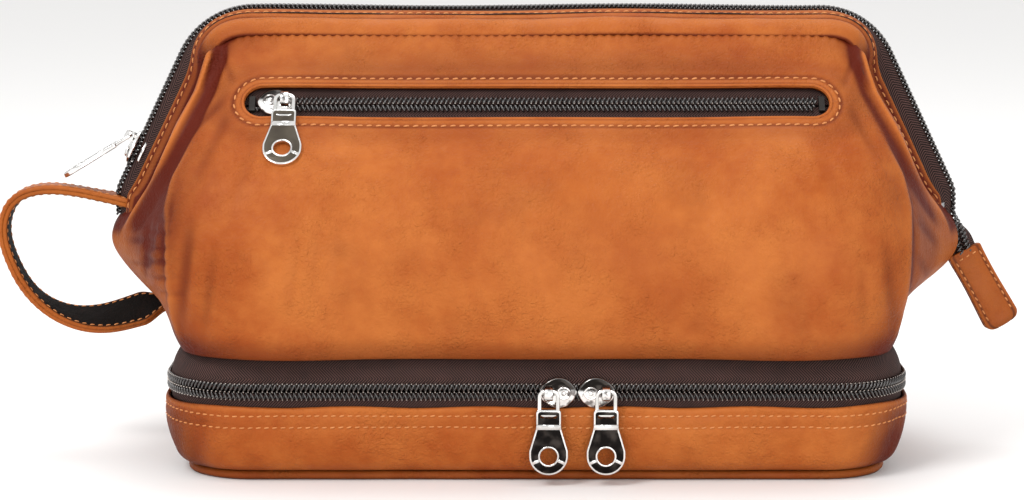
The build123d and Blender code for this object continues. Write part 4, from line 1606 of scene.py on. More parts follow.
    def floor(self, height: float, grow: float, thickness: float, sag: float) -> Shell:
        """A cloth on the divider: rings of the lowest outline that shrink to the middle, with a slight sag.

        Args:
            height: its rim's height.
            grow: how far its rim reaches past the usual inset.
            thickness: the cloth's, downwards.
            sag: how far its middle rises above its rim.

        Returns:
            The closed cloth.
        """
        rim = np.concatenate([self.skin(-1.0, 120, 24)[0], self.skin(1.0, 120, 24)[0][1:-1][::-1]])
        rim = rim * [1.0, 1.0, 0.0]
        rim = rim - unit(rim) * (2.6 - grow)
        t = np.linspace(0.0, 1.0, 20)[:, None, None]
        core = rim * [0.55, 0.0, 0.0]
        points, t = mixed(rim, core, t), t[..., 0]
        ripple = 0.25 * np.sin(points[..., 0] / 13.0) * np.sin(points[..., 1] / 9.0 + 1.0) * np.sin(np.pi * t)
        points[..., 2] = height + sag * t**2 + ripple
        return Shell.grid(points, close_columns=True).thick(-thickness)

    def hinge(self) -> Shell:
        """The leather strip along the back: a strip that bows out a little between its two seams.

        Returns:
            The closed strip.
        """
        low, tall = 26.2, 19.4
        x = np.linspace(-98.0, 98.0, 150)[None]
        z = np.linspace(low, low + tall, 26)[:, None]
        belly = np.sin(np.pi * (z - low) / tall)
        y = 58.6 + (0.9 * belly + 0.15 * np.sin(x / 9.0) * belly)
        points = np.stack(np.broadcast_arrays(x, y, z), axis=-1)
        burnish = 0.45 + 0.35 * np.abs(z - 35.0) / 10.0 + 0.0 * x
        return Shell.grid(points, fields={"burnish": burnish}).facing((0.0, 1.0, 0.0)).thick(1.6)

    def build(self) -> None:
        """Makes the upper body's pieces. What crosses a hinge rides no body."""
        for side, name, body in ((-1.0, "front", "front_frame"), (1.0, "back", "rear_frame")):
            skin = self.panel(side)
            parts, bending = [skin.thick(self.leather)], []
            if side < 0:
                parts.append(self.lip(skin))
                bending.append(add_piece("pocket_window_stitches", self.window_stitches(skin), Finish.THREAD))
            bending.append(add_piece(f"{name}_leather_panel", Shell.join(parts), Finish.LEATHER,
                                     node=f"{name}_panel"))
            bending.append(add_piece(f"{name}_cloth_lining", self.lining(side), Finish.LINING,
                                     node=f"{name}_lining"))
            for piece in bending:
                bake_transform(piece)
        under, upper = self.floor(44.4, 0.0, 0.4, 0.15), self.floor(47.6, -0.6, 0.5, 0.0)
        add_piece("divider_cloth_underside", under, Finish.LINING, "upper_body", "divider_underside")
        add_piece("divider_cloth_floor", upper, Finish.LINING, "upper_body", "divider_floor_lining")
        hinge = add_piece("rear_leather_hinge", self.hinge(), Finish.LEATHER, node="rear_hinge_strip")
        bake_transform(hinge)


@dataclass
class Mouth:
    """The sprung mouth: on each side a leather band, its steel strip, and half of the zip over the top."""

    foot: float = 86.5
    pivot_height: float = 88.0
    half_span: float = 150.0
    half_top: float = 119.0
    height: float = 160.4
    tilt: float = math.radians(36.0)
    right_tilt: float = math.radians(56.0)
    stitch_pitch: float = 3.2
    stitch_top: float = 8.0
    stitch_leg: float = 9.0
    leather: float = 1.5
    wave: float = 11.0

    def rail(self, side: float, turned: float = 1.0) -> Rail:
        """The mouth's outline from foot to foot, with its directions turned outwards on the legs.

        The turned directions are out cos t + side sin t and side cos t - out sin t, with t easing from 0 on
        the top to turned times the tilt on the legs.

        Args:
            side: -1 for the front, 1 for the back.
            turned: the share of the tilt that is used.

        Returns:
            The line.
        """
        x, top, foot = self.half_span, self.half_top, self.foot
        corners = [(-x, foot), (-x, 96.0), (-top, self.height), (top, self.height), (x, 96.0), (x, foot)]
        flat = rounded(corners, [0.0, 8.0, 27.0, 27.0, 8.0, 0.0], closed=False, step=0.7)
        way = unit(np.gradient(flat, axis=0))
        out = np.stack([-way[:, 1], np.zeros(len(flat)), way[:, 0]], axis=1)
        sideways = np.broadcast_to([0.0, side, 0.0], out.shape)
        most = turned * self.tilt + turned * (self.right_tilt - self.tilt) * ease(-20.0, 20.0, flat[:, 0])
        t = (most * ease(159.0, 138.0, flat[:, 1]) * (0.55 + 0.45 * ease(88.0, 104.0, flat[:, 1])))[:, None]
        points = np.column_stack([flat[:, 0], np.zeros(len(flat)), flat[:, 1]])
        points[:, 2] += 0.35 * np.sin(flat[:, 0] / 21.0) * ease(118.0, 90.0, np.abs(flat[:, 0]))
        return Rail(points, out * np.cos(t) + sideways * np.sin(t), sideways * np.cos(t) - out * np.sin(t))

    def leg_share(self, rail: Rail, at: Array) -> Array:
        """0 on the top and 1 on the legs, by the outline's height."""
        return ease(157.5, 146.0, rail.place(at, 0.0, 0.0)[:, 2])

    def band(self, side: float) -> Shell:
        """The leather band: a profile that changes from the top's to the legs' as the outline turns down.

        On the top it runs from the zip over a stitched edge and a crease to a roll that ends in the panel's
        seam. On the legs it is a narrow channel whose far edge turns in.

        Args:
            side: -1 for the front, 1 for the back.

        Returns:
            The closed band.
        """
        rail = self.rail(side)
        at = np.linspace(0.6, rail.length - 0.6, 430)
        top = np.array([[5.0, -0.5], [5.0, 0.35], [5.6, 0.85], [8.0, 0.10], [10.6, -1.05], [12.1, -2.35],
                        [13.3, -1.75], [15.4, -2.0], [17.6, -3.5], [19.0, -5.2], [19.7, -6.6], [19.4, -7.9]])
        leg = np.array([[6.4, -0.8], [6.4, 0.1], [6.9, 0.65], [8.6, 0.55], [10.2, 0.35], [11.5, -0.1],
                        [12.6, -0.7], [13.4, -1.8], [13.8, -3.4], [13.7, -5.2], [13.2, -7.0], [12.4, -8.6]])
        order = np.linspace(0.0, 1.0, len(top))
        fine = np.linspace(0.0, 1.0, 34)
        share = self.leg_share(rail, at)[:, None]
        profile = spline(order, np.concatenate([top, leg], axis=1), fine)
        across = mixed(profile[:, 0], profile[:, 2], share)
        rise = mixed(profile[:, 1], profile[:, 3], share)
        run = at[:, None]
        stitched = across - mixed(self.stitch_top, self.stitch_leg, share)
        rise = rise - (0.26 + 0.07 * np.cos(run * 2.0 * np.pi / self.stitch_pitch)) * hump(0.0, 0.6, stitched)
        roll = hump(16.0, 3.0, across)
        rise = rise + 0.22 * np.sin(run / 8.3) * roll + 0.10 * np.sin(run / 2.7 + across) * roll
        rise = rise + 0.16 * np.sin(run / self.wave)
        points = rail.place(run, rise, across)
        edge = mixed(hump(5.5, 0.5, across), hump(6.8, 0.5, across), share)
        # painted shade in the crease behind the stitched edge, under the roll where it meets the panel, and
        # where the legs' far edge turns in; darker along the stitches, on the legs and towards the ends
        burnish = (0.75 * hump(12.1, 0.9, across) * (1.0 - share)
                   + 0.85 * hump(-7.6, 0.7, rise) * (1.0 - share)
                   + 0.40 * hump(0.0, 0.9, stitched) + 0.75 * ease(11.6, 13.4, across) * share + 0.20 * share
                   + 0.25 * ease(92.0, 118.0, np.abs(points[..., 0])) + 0.10)
        # painted highlight along the roll's crest; lighter along the band's folded edge
        rub = 0.75 * edge + 0.75 * hump(15.6, 2.4, across) * (1.0 - share)
        fields = {"burnish": clamp(burnish), "rub": clamp(rub)}
        shell = Shell.grid(points, fields=fields)
        up = shell.normals().reshape(points.shape)[len(points) // 2, 8]
        return shell.thick(self.leather * float(np.sign(up[2])))

    def stitch_row(self, side: float) -> Shell:
        """The row of stitches along the band's edge.

        Args:
            side: -1 for the front, 1 for the back.

        Returns:
            The stitches.
        """
        rail = self.rail(side)
        at = np.linspace(3.0, rail.length - 3.0, 420)
        share = self.leg_share(rail, at)
        across = mixed(self.stitch_top, self.stitch_leg, share)
        rise = mixed(0.10, 0.50, share) - 0.16 + 0.16 * np.sin(at / self.wave)
        tilt = 0.36 * (1.0 - share)
        out = unit(rail.place(at, 1.0, tilt) - rail.place(at, 0.0, 0.0))
        return stitches(rail.place(at, rise, across), out, self.stitch_pitch, radius=0.36)

    def tape(self, side: float) -> Shell:
        """Half the zip's tape: level under the teeth, turning with the band and dipping under its edge.

        Args:
            side: -1 for the front, 1 for the back.

        Returns:
            The closed tape.
        """
        rail = self.rail(side)
        level = self.rail(side, 0.0)
        at = np.linspace(0.3, rail.length - 0.3, 330)[:, None]
        across = np.linspace(0.7, 9.4, 11)[None]
        rise = 0.42 - 0.9 * ease(4.0, 7.5, across) + 0.08 * np.sin(at / 4.1) * ease(2.0, 5.0, across)
        turned = ease(0.8, 5.2, np.broadcast_to(across, rise.shape))[..., None]
        points = mixed(level.place(at, rise + 0.12, across), rail.place(at, rise, across), turned)
        return Shell.grid(np.swapaxes(points, 0, 1)).thick(0.45)

    def teeth(self, side: float) -> Shell:
        """This side's row of teeth.

        Args:
            side: -1 for the front, 1 for the back.

        Returns:
            The wound row.
        """
        rail = self.rail(side, 0.0)
        phase = 0.0 if side < 0 else 0.5
        return Coil().wind(rail, 0.5, rail.length - 0.5, 1.62, Coil.off, Coil.tall, -Coil.wide, phase, 0.16)

    def dots(self) -> Shell:
        """The row of painted glints over the joined teeth."""
        rail = self.rail(-1.0, 0.0)
        return Coil().dots(rail, 1.0, rail.length - 1.0, 2.45)

    def strip(self, side: float) -> Shell:
        """The spring strip inside the band, with its ends turned in to the rivets.

        Args:
            side: -1 for the front, 1 for the back.

        Returns:
            The closed strip.
        """
        rail = self.rail(side)
        at = np.linspace(1.0, rail.length - 1.0, 260)
        drop = -2.6 if side < 0 else -3.6
        line = rail.place(at, drop, 9.4)
        end = self.half_span + drop - (0.6 if side > 0 else 0.0)
        left = np.array([[-end, 0.0, self.pivot_height], [-end, side * 5.0, self.pivot_height + 1.5]])
        line = np.concatenate([left, line, left[::-1] * [-1.0, 1.0, 1.0]])
        out = np.concatenate([[(-1.0, 0.0, 0.0)] * 2, rail.outward_at(at), [ACROSS] * 2])
        return sweep(line, out, slab(0.5, 2.4, 0.2))

    def build(self) -> None:
        """Makes both sides of the mouth and rides them on their frames."""
        for side, name in ((-1.0, "front"), (1.0, "rear")):
            body = f"{name}_frame"
            add_piece(f"mouth_{name}_leather_band", self.band(side), Finish.LEATHER, body,
                      f"{name}_frame_sleeve")
            add_piece(f"mouth_{name}_stitches", self.stitch_row(side), Finish.THREAD, body)
            add_piece(f"mouth_{name}_zip_tape", self.tape(side), Finish.TAPE, body, f"mouth_{name}_tape")
            add_piece(f"mouth_{name}_zip_teeth", self.teeth(side), Finish.TEETH, body, f"mouth_{name}_coil")
            if side < 0:
                add_piece("mouth_zip_dots", self.dots(), Finish.DOTS, body)
            add_piece(f"mouth_{name}_spring_strip", self.strip(side), Finish.STEEL, body,
                      f"{name}_frame_strip")


@dataclass
class Pocket:
    """What lies behind the front panel's window: two tapes, two rows of teeth and a cloth bag."""

    half_teeth: float = 98.0
    half_tape: float = 108.0
    recess: float = 3.4
    thickness: float = 0.45

    def rail(self) -> Rail:
        """The zip's straight line along the facet.

        Returns:
            The line.
        """
        x = np.linspace(-self.half_tape, self.half_tape, 217)
        points = np.array(FACET_POINT) + x[:, None] * ACROSS
        return Rail(points, np.broadcast_to(FACET_OUT, points.shape), np.broadcast_to(FACET_UP, points.shape))

    def tape(self, side: float) -> Shell:
        """One tape: flat beside the teeth, with a slow waver out of its plane.

        Args:
            side: 1 for the upper one, -1 for the lower one.

        Returns:
            The closed tape.
        """
        at = np.linspace(0.0, 2.0 * self.half_tape, 150)[None]
        across = np.linspace(0.5, 10.6, 12)[:, None]
        rise = (-self.recess + 0.5 + 0.14 * np.sin(at / 7.0) * ease(2.0, 6.0, across)
                - 0.5 * ease(6.0, 9.0, across))
        return Shell.grid(self.rail().place(at, rise, side * across)).thick(-side * self.thickness)

    def teeth(self, side: float) -> Shell:
        """One row of teeth.

        Args:
            side: 1 for the upper one, -1 for the lower one.

        Returns:
            The wound row.
        """
        start = self.half_tape - self.half_teeth
        end, out = start + 2.0 * self.half_teeth, 1.75 - self.recess
        return Coil().wind(self.rail(), start, end, out, side * Coil.off, Coil.tall, side * Coil.wide,
                           0.0 if side < 0 else 0.5)

    def bag(self) -> Shell:
        """The cloth bag: an oblong sheet whose wall swells from the edges to 3 mm in the middle.

        Returns:
            The closed bag.
        """
        at = np.linspace(2.0, 2.0 * self.half_tape - 2.0, 120)[None]
        up = np.linspace(-29.0, 9.0, 30)[:, None]
        from_end = 2.0 * self.half_tape - 2.0 - at
        fill = ease(0.0, 12.0, at - 2.0) * ease(0.0, 12.0, from_end) * ease(-29.0, -18.0, up)
        rise = -self.recess - 2.2 + 0.25 * np.sin(at / 9.0) * np.sin(up / 6.0)
        shell = Shell.grid(self.rail().place(at, rise, up))
        depth = (0.6 + 2.2 * fill * ease(9.0, 2.0, up)).reshape(-1)
        normal = shell.normals().mean(0)
        return shell.thick(depth * float(np.sign(normal @ FACET_OUT)))

    def build(self) -> None:
        """Makes the pocket's pieces and rides them on the front frame."""
        body = "front_frame"
        for side, name in ((1.0, "upper"), (-1.0, "lower")):
            add_piece(f"pocket_zip_{name}_tape", self.tape(side), Finish.TAPE, body, f"pocket_{name}_tape")
            add_piece(f"pocket_zip_{name}_teeth", self.teeth(side), Finish.TEETH, body, f"pocket_{name}_coil")
        # painted glints on the pocket's teeth
        dots = Coil().dots(self.rail(), 10.0, 2.0 * self.half_tape - 10.0, 2.6 - self.recess)
        add_piece("pocket_zip_dots", dots, Finish.DOTS, body)
        add_piece("pocket_cloth_bag", self.bag(), Finish.LINING, body, "pocket_bag")


@dataclass(frozen=True)
class Seat:
    """Where a slider sits: an origin on the tape, and the ways of its nose, across the zip and outwards."""

    origin: Spot
    nose: Spot
    up: Spot
    out: Spot

    def place(self, local: Array) -> Array:
        """Local places along nose, up and out, in the bag's own frame."""
        return np.array(self.origin) + local @ np.array([self.nose, self.up, self.out])

    def put(self, shell: Shell) -> Shell:
        """A shell moved from local places to the bag's."""
        shell.points = self.place(shell.points)
        return shell.outward()


def plate(outline: Array, holes: Sequence[Array], thick: float, bevel: float) -> Shell:
    """A flat plate of any outline with holes, its edges bevelled, lying about z = 0.

    Args:
        outline: the outer edge, in x and y.
        holes: the holes' edges.
        thick: the plate's thickness.
        bevel: the bevel's size.

    Returns:
        The closed plate.
    """
    drawn = bpy.data.curves.new("plate", "CURVE")
    drawn.dimensions, drawn.fill_mode = "2D", "BOTH"
    drawn.extrude, drawn.bevel_depth, drawn.bevel_resolution = 0.5 * thick - bevel, bevel, 2
    drawn.offset = -bevel
    for edge in (outline, *holes):
        line = drawn.splines.new("POLY")
        line.points.add(len(edge) - 1)
        places = np.column_stack([edge, np.zeros(len(edge)), np.ones(len(edge))])
        line.points.foreach_set("co", places.reshape(-1))
        line.use_cyclic_u = True
    holder = bpy.data.objects.new("plate", drawn)
    mesh = bpy.data.meshes.new_from_object(holder)
    work = bmesh.new()
    work.from_mesh(mesh)
    bmesh.ops.remove_doubles(work, verts=work.verts, dist=0.004)
    bmesh.ops.recalc_face_normals(work, faces=work.faces)
    bmesh.ops.triangulate(work, faces=work.faces)
    points = np.array([v.co for v in work.verts])
    faces = np.array([[v.index for v in face.verts] for face in work.faces])
    work.free()
    bpy.data.objects.remove(holder)
    bpy.data.curves.remove(drawn)
    bpy.data.meshes.remove(mesh)
    return Shell(points, [faces], [points[faces][..., :2]])


@dataclass
class Pull:
    """One slider with its ring link and its puller."""

    name: str
    seat: Seat
    bar: Spot
    hang: Spot
    length: float = 12.6
    width: float = 9.4
    reach: float = 6.4
    bar_back: float = 3.3
    eye_drop: float = 15.3
    face_lift: float = 0.70
    # the finish of the dark sheets on the puller's faces, a painted reflection
    face: Finish = Finish.DARK_PLATE

    def crown_outline(self, count: int, shrink: float = 0.0) -> Array:
        """The crown's edge, a leaf: x = a cos t and y = b sin t |sin t|^p, with p larger towards the nose.

        Args:
            count: how many points.
            shrink: how far inside the edge.

        Returns:
            Points in x and y.
        """
        t = np.linspace(0.0, 2.0 * np.pi, count, endpoint=False)
        x = (0.5 * self.length - shrink) * np.cos(t)
        blunt = 0.42 * ease(-0.3, 1.0, np.cos(t)) - 0.10
        y = (0.56 * self.width - shrink) * np.sin(t) * np.maximum(np.abs(np.sin(t)), 0.05) ** blunt
        y = y * (1.0 - 0.16 * ease(0.0, -1.0, np.cos(t)))
        return np.stack([x, y], axis=1)

    def crown(self) -> list[Shell]:
        """The slider: a domed upper plate with turned-down sides, a flat lower one, the neck and the arch.

        Returns:
            Its six shells, in the bag's frame.
        """
        edge = self.crown_outline(48)
        rings = np.array([[1.0, 2.35], [1.03, 2.6], [1.03, 3.2], [0.98, 3.6], [0.90, 3.82],
                          [0.78, 3.9], [0.70, 4.15], [0.50, 4.55], [0.28, 4.75], [0.04, 4.8]])
        below = np.array([[0.90, 2.95], [0.5, 3.1], [0.04, 3.1]])
        upper, under = (
            np.stack([np.concatenate([edge * share, np.full((len(edge), 1), height)], axis=1)
                      for share, height in levels])
            for levels in (rings, below)
        )
        cap = Shell.grid(np.concatenate([under[::-1], upper]), close_columns=True)
        ends = np.array([np.arange(len(edge))[::-1], len(cap.points) - len(edge) + np.arange(len(edge))])
        cap.faces.append(ends)
        cap.corners.append(np.zeros((2, len(edge), 2)))
        # painted reflection: the half of the dome on the seat's up side darkens to near black
        inside = np.repeat(ease(4.0, 7.0, np.arange(len(under) + len(rings), dtype=float)), len(edge))
        cap.fields = {"burnish": inside * ease(0.2, 1.3, cap.points[:, 1])}
        lower = plate(self.crown_outline(48, 0.3), [], 1.0, 0.25)
        lower.points[:, 2] -= 0.8
        post = np.array([[4.4, 0.0, -0.8], [4.4, 0.0, 1.0], [4.4, 0.0, 3.2]])
        neck = sweep(post, ACROSS, slab(1.1, 0.42, 0.2))
        t = np.linspace(0.0, np.pi, 19)
        arch = np.stack([np.full(len(t), -self.bar_back), 2.35 * np.cos(t), 3.9 + 3.55 * np.sin(t) ** 0.8],
                        axis=1)
        bridge = sweep(arch, ACROSS, slab(1.45, 0.42, 0.28))
        t = np.linspace(0.0, 2.0 * np.pi, 30, endpoint=False)
        loop = np.stack([1.9 + 2.2 * np.cos(t), 2.0 * np.sin(t), 4.55 - 0.12 * np.cos(2.0 * t)], axis=1)
        bead = sweep(loop, UPRIGHT, circle(8, 0.36, 0.36), closed=True)
        peg = np.array([[1.9, 0.0, 4.5], [1.9, 0.0, 5.0], [1.9, 0.0, 5.25]])
        stud = sweep(peg, ACROSS, circle(14, 0.9, 0.9), np.array([1.0, 0.95, 0.45]))
        return [self.seat.put(part) for part in (cap, lower, neck, bridge, bead, stud)]

    def frame(self) -> Seat:
        """The hanging pull's own frame: its origin on the slider's bar, its up against the hang.

        Returns:
            The frame, as a seat.
        """
        hang = unit(np.array(self.hang, float))
        out = np.array(self.seat.out, float)
        if abs(out @ hang) > 0.1:
            out = unit(out - (out @ hang) * hang)
        across = np.cross(-hang, out)
        return Seat(self.bar, tuple(across), tuple(-hang), tuple(out))

    def ring(self) -> Shell:
        """The link: a wire ring with round corners, from above the bar to below the puller's bar.

        Returns:
            The closed ring.
        """
        half, top, low = 3.15, 1.0, -self.reach - 1.0
        flat = rounded([(-half, top), (half, top), (half, low), (-half, low)], [1.9] * 4, True, 0.35)
        line = np.column_stack([flat, np.zeros(len(flat))])
        return self.frame().put(sweep(line, UPRIGHT, slab(0.62, 0.66, 0.36, 4), closed=True))

    def puller_outline(self, shrink: float) -> Array:
        """The puller's edge: straight sides that flare to a round end, as a rounded polygon.

        Args:
            shrink: how far inside the edge.

        Returns:
            Points in x and y.
        """
        top, end, low = 4.3 - shrink, 6.7 - shrink, -self.eye_drop
        right = [(top, 0.95 - shrink), (top, -5.4), (end, low + 1.8), (end, low - 6.6 + shrink)]
        shape = [(-top, 0.95 - shrink), *right, *((-x, y) for x, y in right[:0:-1])]
        return rounded(shape, [1.0, 1.0, 4.0, 3.5, end - 0.01, end - 0.01, 3.5, 4.0], True, 0.4)

    def puller(self) -> tuple[Shell, Shell]:
        """The puller: a bright plate with an eye and a slot. On both faces it carries a dark sheet, a painted
        reflection, that leaves the rim bright.

        The sheet is in two parts with a bright bar between them, a painted highlight. Two short bars run from
        the eye to the edge.

        Returns:
            The bright shell and the dark one.
        """
        low, cut_high, cut_low = -self.eye_drop, -4.05, -6.05
        t = np.linspace(0.0, 2.0 * np.pi, 40, endpoint=False)
        ring = np.stack([np.cos(t), np.sin(t)], axis=1)[::-1]
        eye, wide_eye = 3.0 * ring + [0.0, low], 3.62 * ring + [0.0, low]
        slot = rounded([(-2.9, -0.8), (2.9, -0.8), (2.9, -1.9), (-2.9, -1.9)], [0.5] * 4, True, 0.3)[::-1]
        body = plate(self.puller_outline(0.0), [eye, slot], 1.7, 0.30)
        edge = self.puller_outline(0.62)
        x, y = edge[:, 0], edge[:, 1]
        past, short = y < cut_high, y > cut_low
        upper = np.stack([np.where(past, np.clip(x, -3.68, 3.68), x),
                          np.where(past, cut_high + (y - cut_high) * 0.01, y)], axis=1)
        lower = np.stack([x, np.where(short, cut_low + (y - cut_low) * 0.01, y)], axis=1)
        # painted reflection: dark sheets lie just above both faces of the plate
        faces = [plate(upper, [slot], 0.5, 0.10), plate(lower, [wide_eye], 0.5, 0.10)]
        dark = []
        for part in faces:
            part.points[:, 2] += self.face_lift
            dark.append(part)
            turned = [face[:, ::-1] for face in part.faces]
            dark.append(Shell(part.points * [1.0, 1.0, -1.0], turned, part.corners))
        rim = np.stack([3.3 * np.cos(t), low + 3.3 * np.sin(t), np.full(len(t), 0.90)], axis=1)
        bright = [body, sweep(rim, UPRIGHT, circle(8, 0.26, 0.36), closed=True)]
        # painted highlight: the bright bar across the face stands for a reflected band of light
        bars = [((-4.15, -5.05), (4.15, -5.05), 0.95)]
        for turn in (math.radians(-24.0), math.radians(-156.0)):
            way = np.array([math.cos(turn), math.sin(turn)])
            bars.append((way * 3.4 + [0.0, low], way * 6.1 + [0.0, low], 0.55))
        for first, last, half in bars:
            line = np.column_stack([np.linspace(first, last, 3), np.full(3, 0.86)])
            bright.append(sweep(line, UPRIGHT, slab(0.30, half, 0.2)))
        shells = Shell.join(bright), Shell.join(dark)
        for part in shells:
            part.points[:, 1] -= self.reach
            part.points = self.frame().place(part.points)
        return shells

    def build(self) -> None:
        """Makes the pull's pieces, each on its own body."""
        bright, dark = self.puller()
        pieces = (
            ("slider_crown", Shell.join(self.crown()), Finish.CROWN, "slider"),
            ("ring_link", self.ring(), Finish.PLATE, "link"),
            ("puller_plate", bright, Finish.PLATE, "puller"),
        )
        for piece, shell, finish, part in pieces:
            add_piece(f"{self.name}_{piece}", shell, finish, f"{self.name}_{part}", f"{self.name}_{part}")
        # the dark sheets: a painted reflection on the puller's faces
        add_piece(f"{self.name}_puller_face", dark, self.face, f"{self.name}_puller")


LEFTWARDS, DOWNWARDS = (-1.0, 0.0, 0.0), (0.0, 0.0, -1.0)
PULLS = (
    Pull("base_left", Seat((7.2, -58.8, 32.6), ACROSS, UPRIGHT, BACK), (3.9, -64.7, 32.6), DOWNWARDS),
    Pull("base_right", Seat((20.4, -58.8, 32.6), LEFTWARDS, UPRIGHT, BACK), (23.7, -64.7, 32.6), DOWNWARDS),
    # the pocket puller's face sheets: its gunmetal tone and a dim painted reflection
    Pull("pocket", Seat((-91.0, -35.406, 128.802), LEFTWARDS, FACET_UP, FACET_OUT),
         (-87.7, -39.908, 132.615), (0.0, -0.6464, -0.7630), face=Finish.SATIN),
    Pull("mouth", Seat((-143.262, 0.0, 110.0), (-0.4337, 0.0, -0.9011), (0.0, 1.0, 0.0),
                       (-0.9011, 0.0, 0.4337)),
         (-147.146, 0.0, 115.532), (-5.469, 0.0, -3.324)),
)


@dataclass
class Strap:
    """The carrying loop on the left end: a leather ply outside a dark one, stitched along both edges."""

    half_width: float = 7.0
    ply: float = 1.6
    tongue: float = 3.0
    twist: float = math.radians(46.0)
    route: tuple[tuple[float, float], ...] = (
        (-137.0, 87.6), (-146.0, 90.9), (-158.0, 93.6), (-169.0, 95.6), (-180.0, 96.0), (-189.5, 92.0),
        (-193.5, 82.0), (-191.0, 70.0), (-184.0, 58.0), (-172.0, 50.0), (-157.0, 48.6), (-144.0, 52.0),
        (-132.0, 55.5))

    def middle(self) -> tuple[Array, Array, Array, Array]:
        """The loop's middle line, its way out of the loop, its half width, and the length at each point.

        The width's direction leans by twist along the lower run, so the dark side shows there, and the half
        width falls to a round tongue at each end.

        Returns:
            Points, directions, half widths and lengths.
        """
        corners = np.array([(x, 0.0, z) for x, z in self.route])
        run = lengths(corners)
        line = resample(spline(run, corners, np.linspace(0.0, run[-1], 400)), 260)
        way = unit(np.gradient(line, axis=0))
        out = np.stack([-way[:, 2], np.zeros(len(way)), way[:, 0]], axis=1)
        out = out * np.sign(np.einsum("ij,ij->i", out, line - line.mean(0)).mean())
        run = lengths(line)
        lean = self.twist * ease(0.60, 0.98, run / run[-1])
        lean = lean + math.radians(4.0) * np.sin(run / 16.0) * ease(0.05, 0.2, run / run[-1])
        out = out * np.cos(lean)[:, None] + np.array([0.0, 1.0, 0.0]) * np.sin(lean)[:, None]
        near = np.minimum(run, run[-1] - run)
        width = self.tongue + (self.half_width - self.tongue) * ease(3.0, 13.0, near)
        width = width * np.sqrt(np.clip(1.0 - (1.0 - clamp(near / 2.5)) ** 2, 0.04, 1.0))
        return line, out, width + 0.12 * np.sin(run / 5.7), run

    def ply_shell(self, outside: bool) -> Shell:
        """One ply, whose edges are pressed thinner than its middle.

        Args:
            outside: whether it is the tan ply, which lies outside the loop.

        Returns:
            The closed ply.
        """
        line, out, width, _ = self.middle()
        offset = 0.5 * self.ply + 0.04
        extra = np.array([[1.0, 0.90], [0.93, 0.82], [1.06, 0.70], [1.08, 0.35], [1.08, 0.0]])
        top = np.concatenate([extra * [0.5 * self.ply, 1.0], (extra * [0.5 * self.ply, -1.0])[::-1][1:]])
        rim = np.array([[0.3 * self.ply, 0.985], [0.0, 1.0], [-0.5 * self.ply, 0.985]])
        section = np.concatenate([top, (rim * [1.0, -1.0]), rim[::-1]])
        size = np.stack([np.ones(len(line)), width], axis=1)
        flip = 1.0 if outside else -1.0
        shell = sweep(line + flip * offset * out, flip * out, section, size)
        rings = np.tile(np.abs(section[:, 1]), len(line))
        edge = ease(0.86, 0.98, rings)
        wear = 0.4 + 0.6 * np.repeat(rng.random(len(line)), len(section))
        burnish = (0.12 if outside else 1.0) * (1.0 - 0.8 * edge) + 0.35 * hump(0.82, 0.06, rings)
        shell.fields = {"burnish": burnish, "rub": 0.75 * edge * wear if outside else 0.25 * edge}
        return shell

    def stitch_rows(self) -> Shell:
        """The two rows along the edges, on both faces.

        Returns:
            The stitches.
        """
        line, out, width, run = self.middle()
        side = np.cross(unit(np.gradient(line, axis=0)), out)
        keep = (run > 3.5) & (run < run[-1] - 3.5)
        rows = []
        for face in (1.0, -1.0):
            for edge in (-0.82, 0.82):
                row = line + face * (self.ply + 0.02) * out + edge * width[:, None] * side
                rows.append(stitches(row[keep], face * out[keep], 2.9, radius=0.27, lift=0.02))
        return Shell.join(rows)

    def build(self) -> None:
        """Makes the two plies and their stitches, which ride no body."""
        pieces = (
            add_piece("strap_leather_ply", self.ply_shell(True), Finish.STRAP, node="strap_outer_ply"),
            add_piece("strap_dark_ply", self.ply_shell(False), Finish.FLESH, node="strap_inner_ply"),
            add_piece("strap_stitches", self.stitch_rows(), Finish.THREAD, slot="strap_leather"),
        )
        for piece in pieces:
            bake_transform(piece)


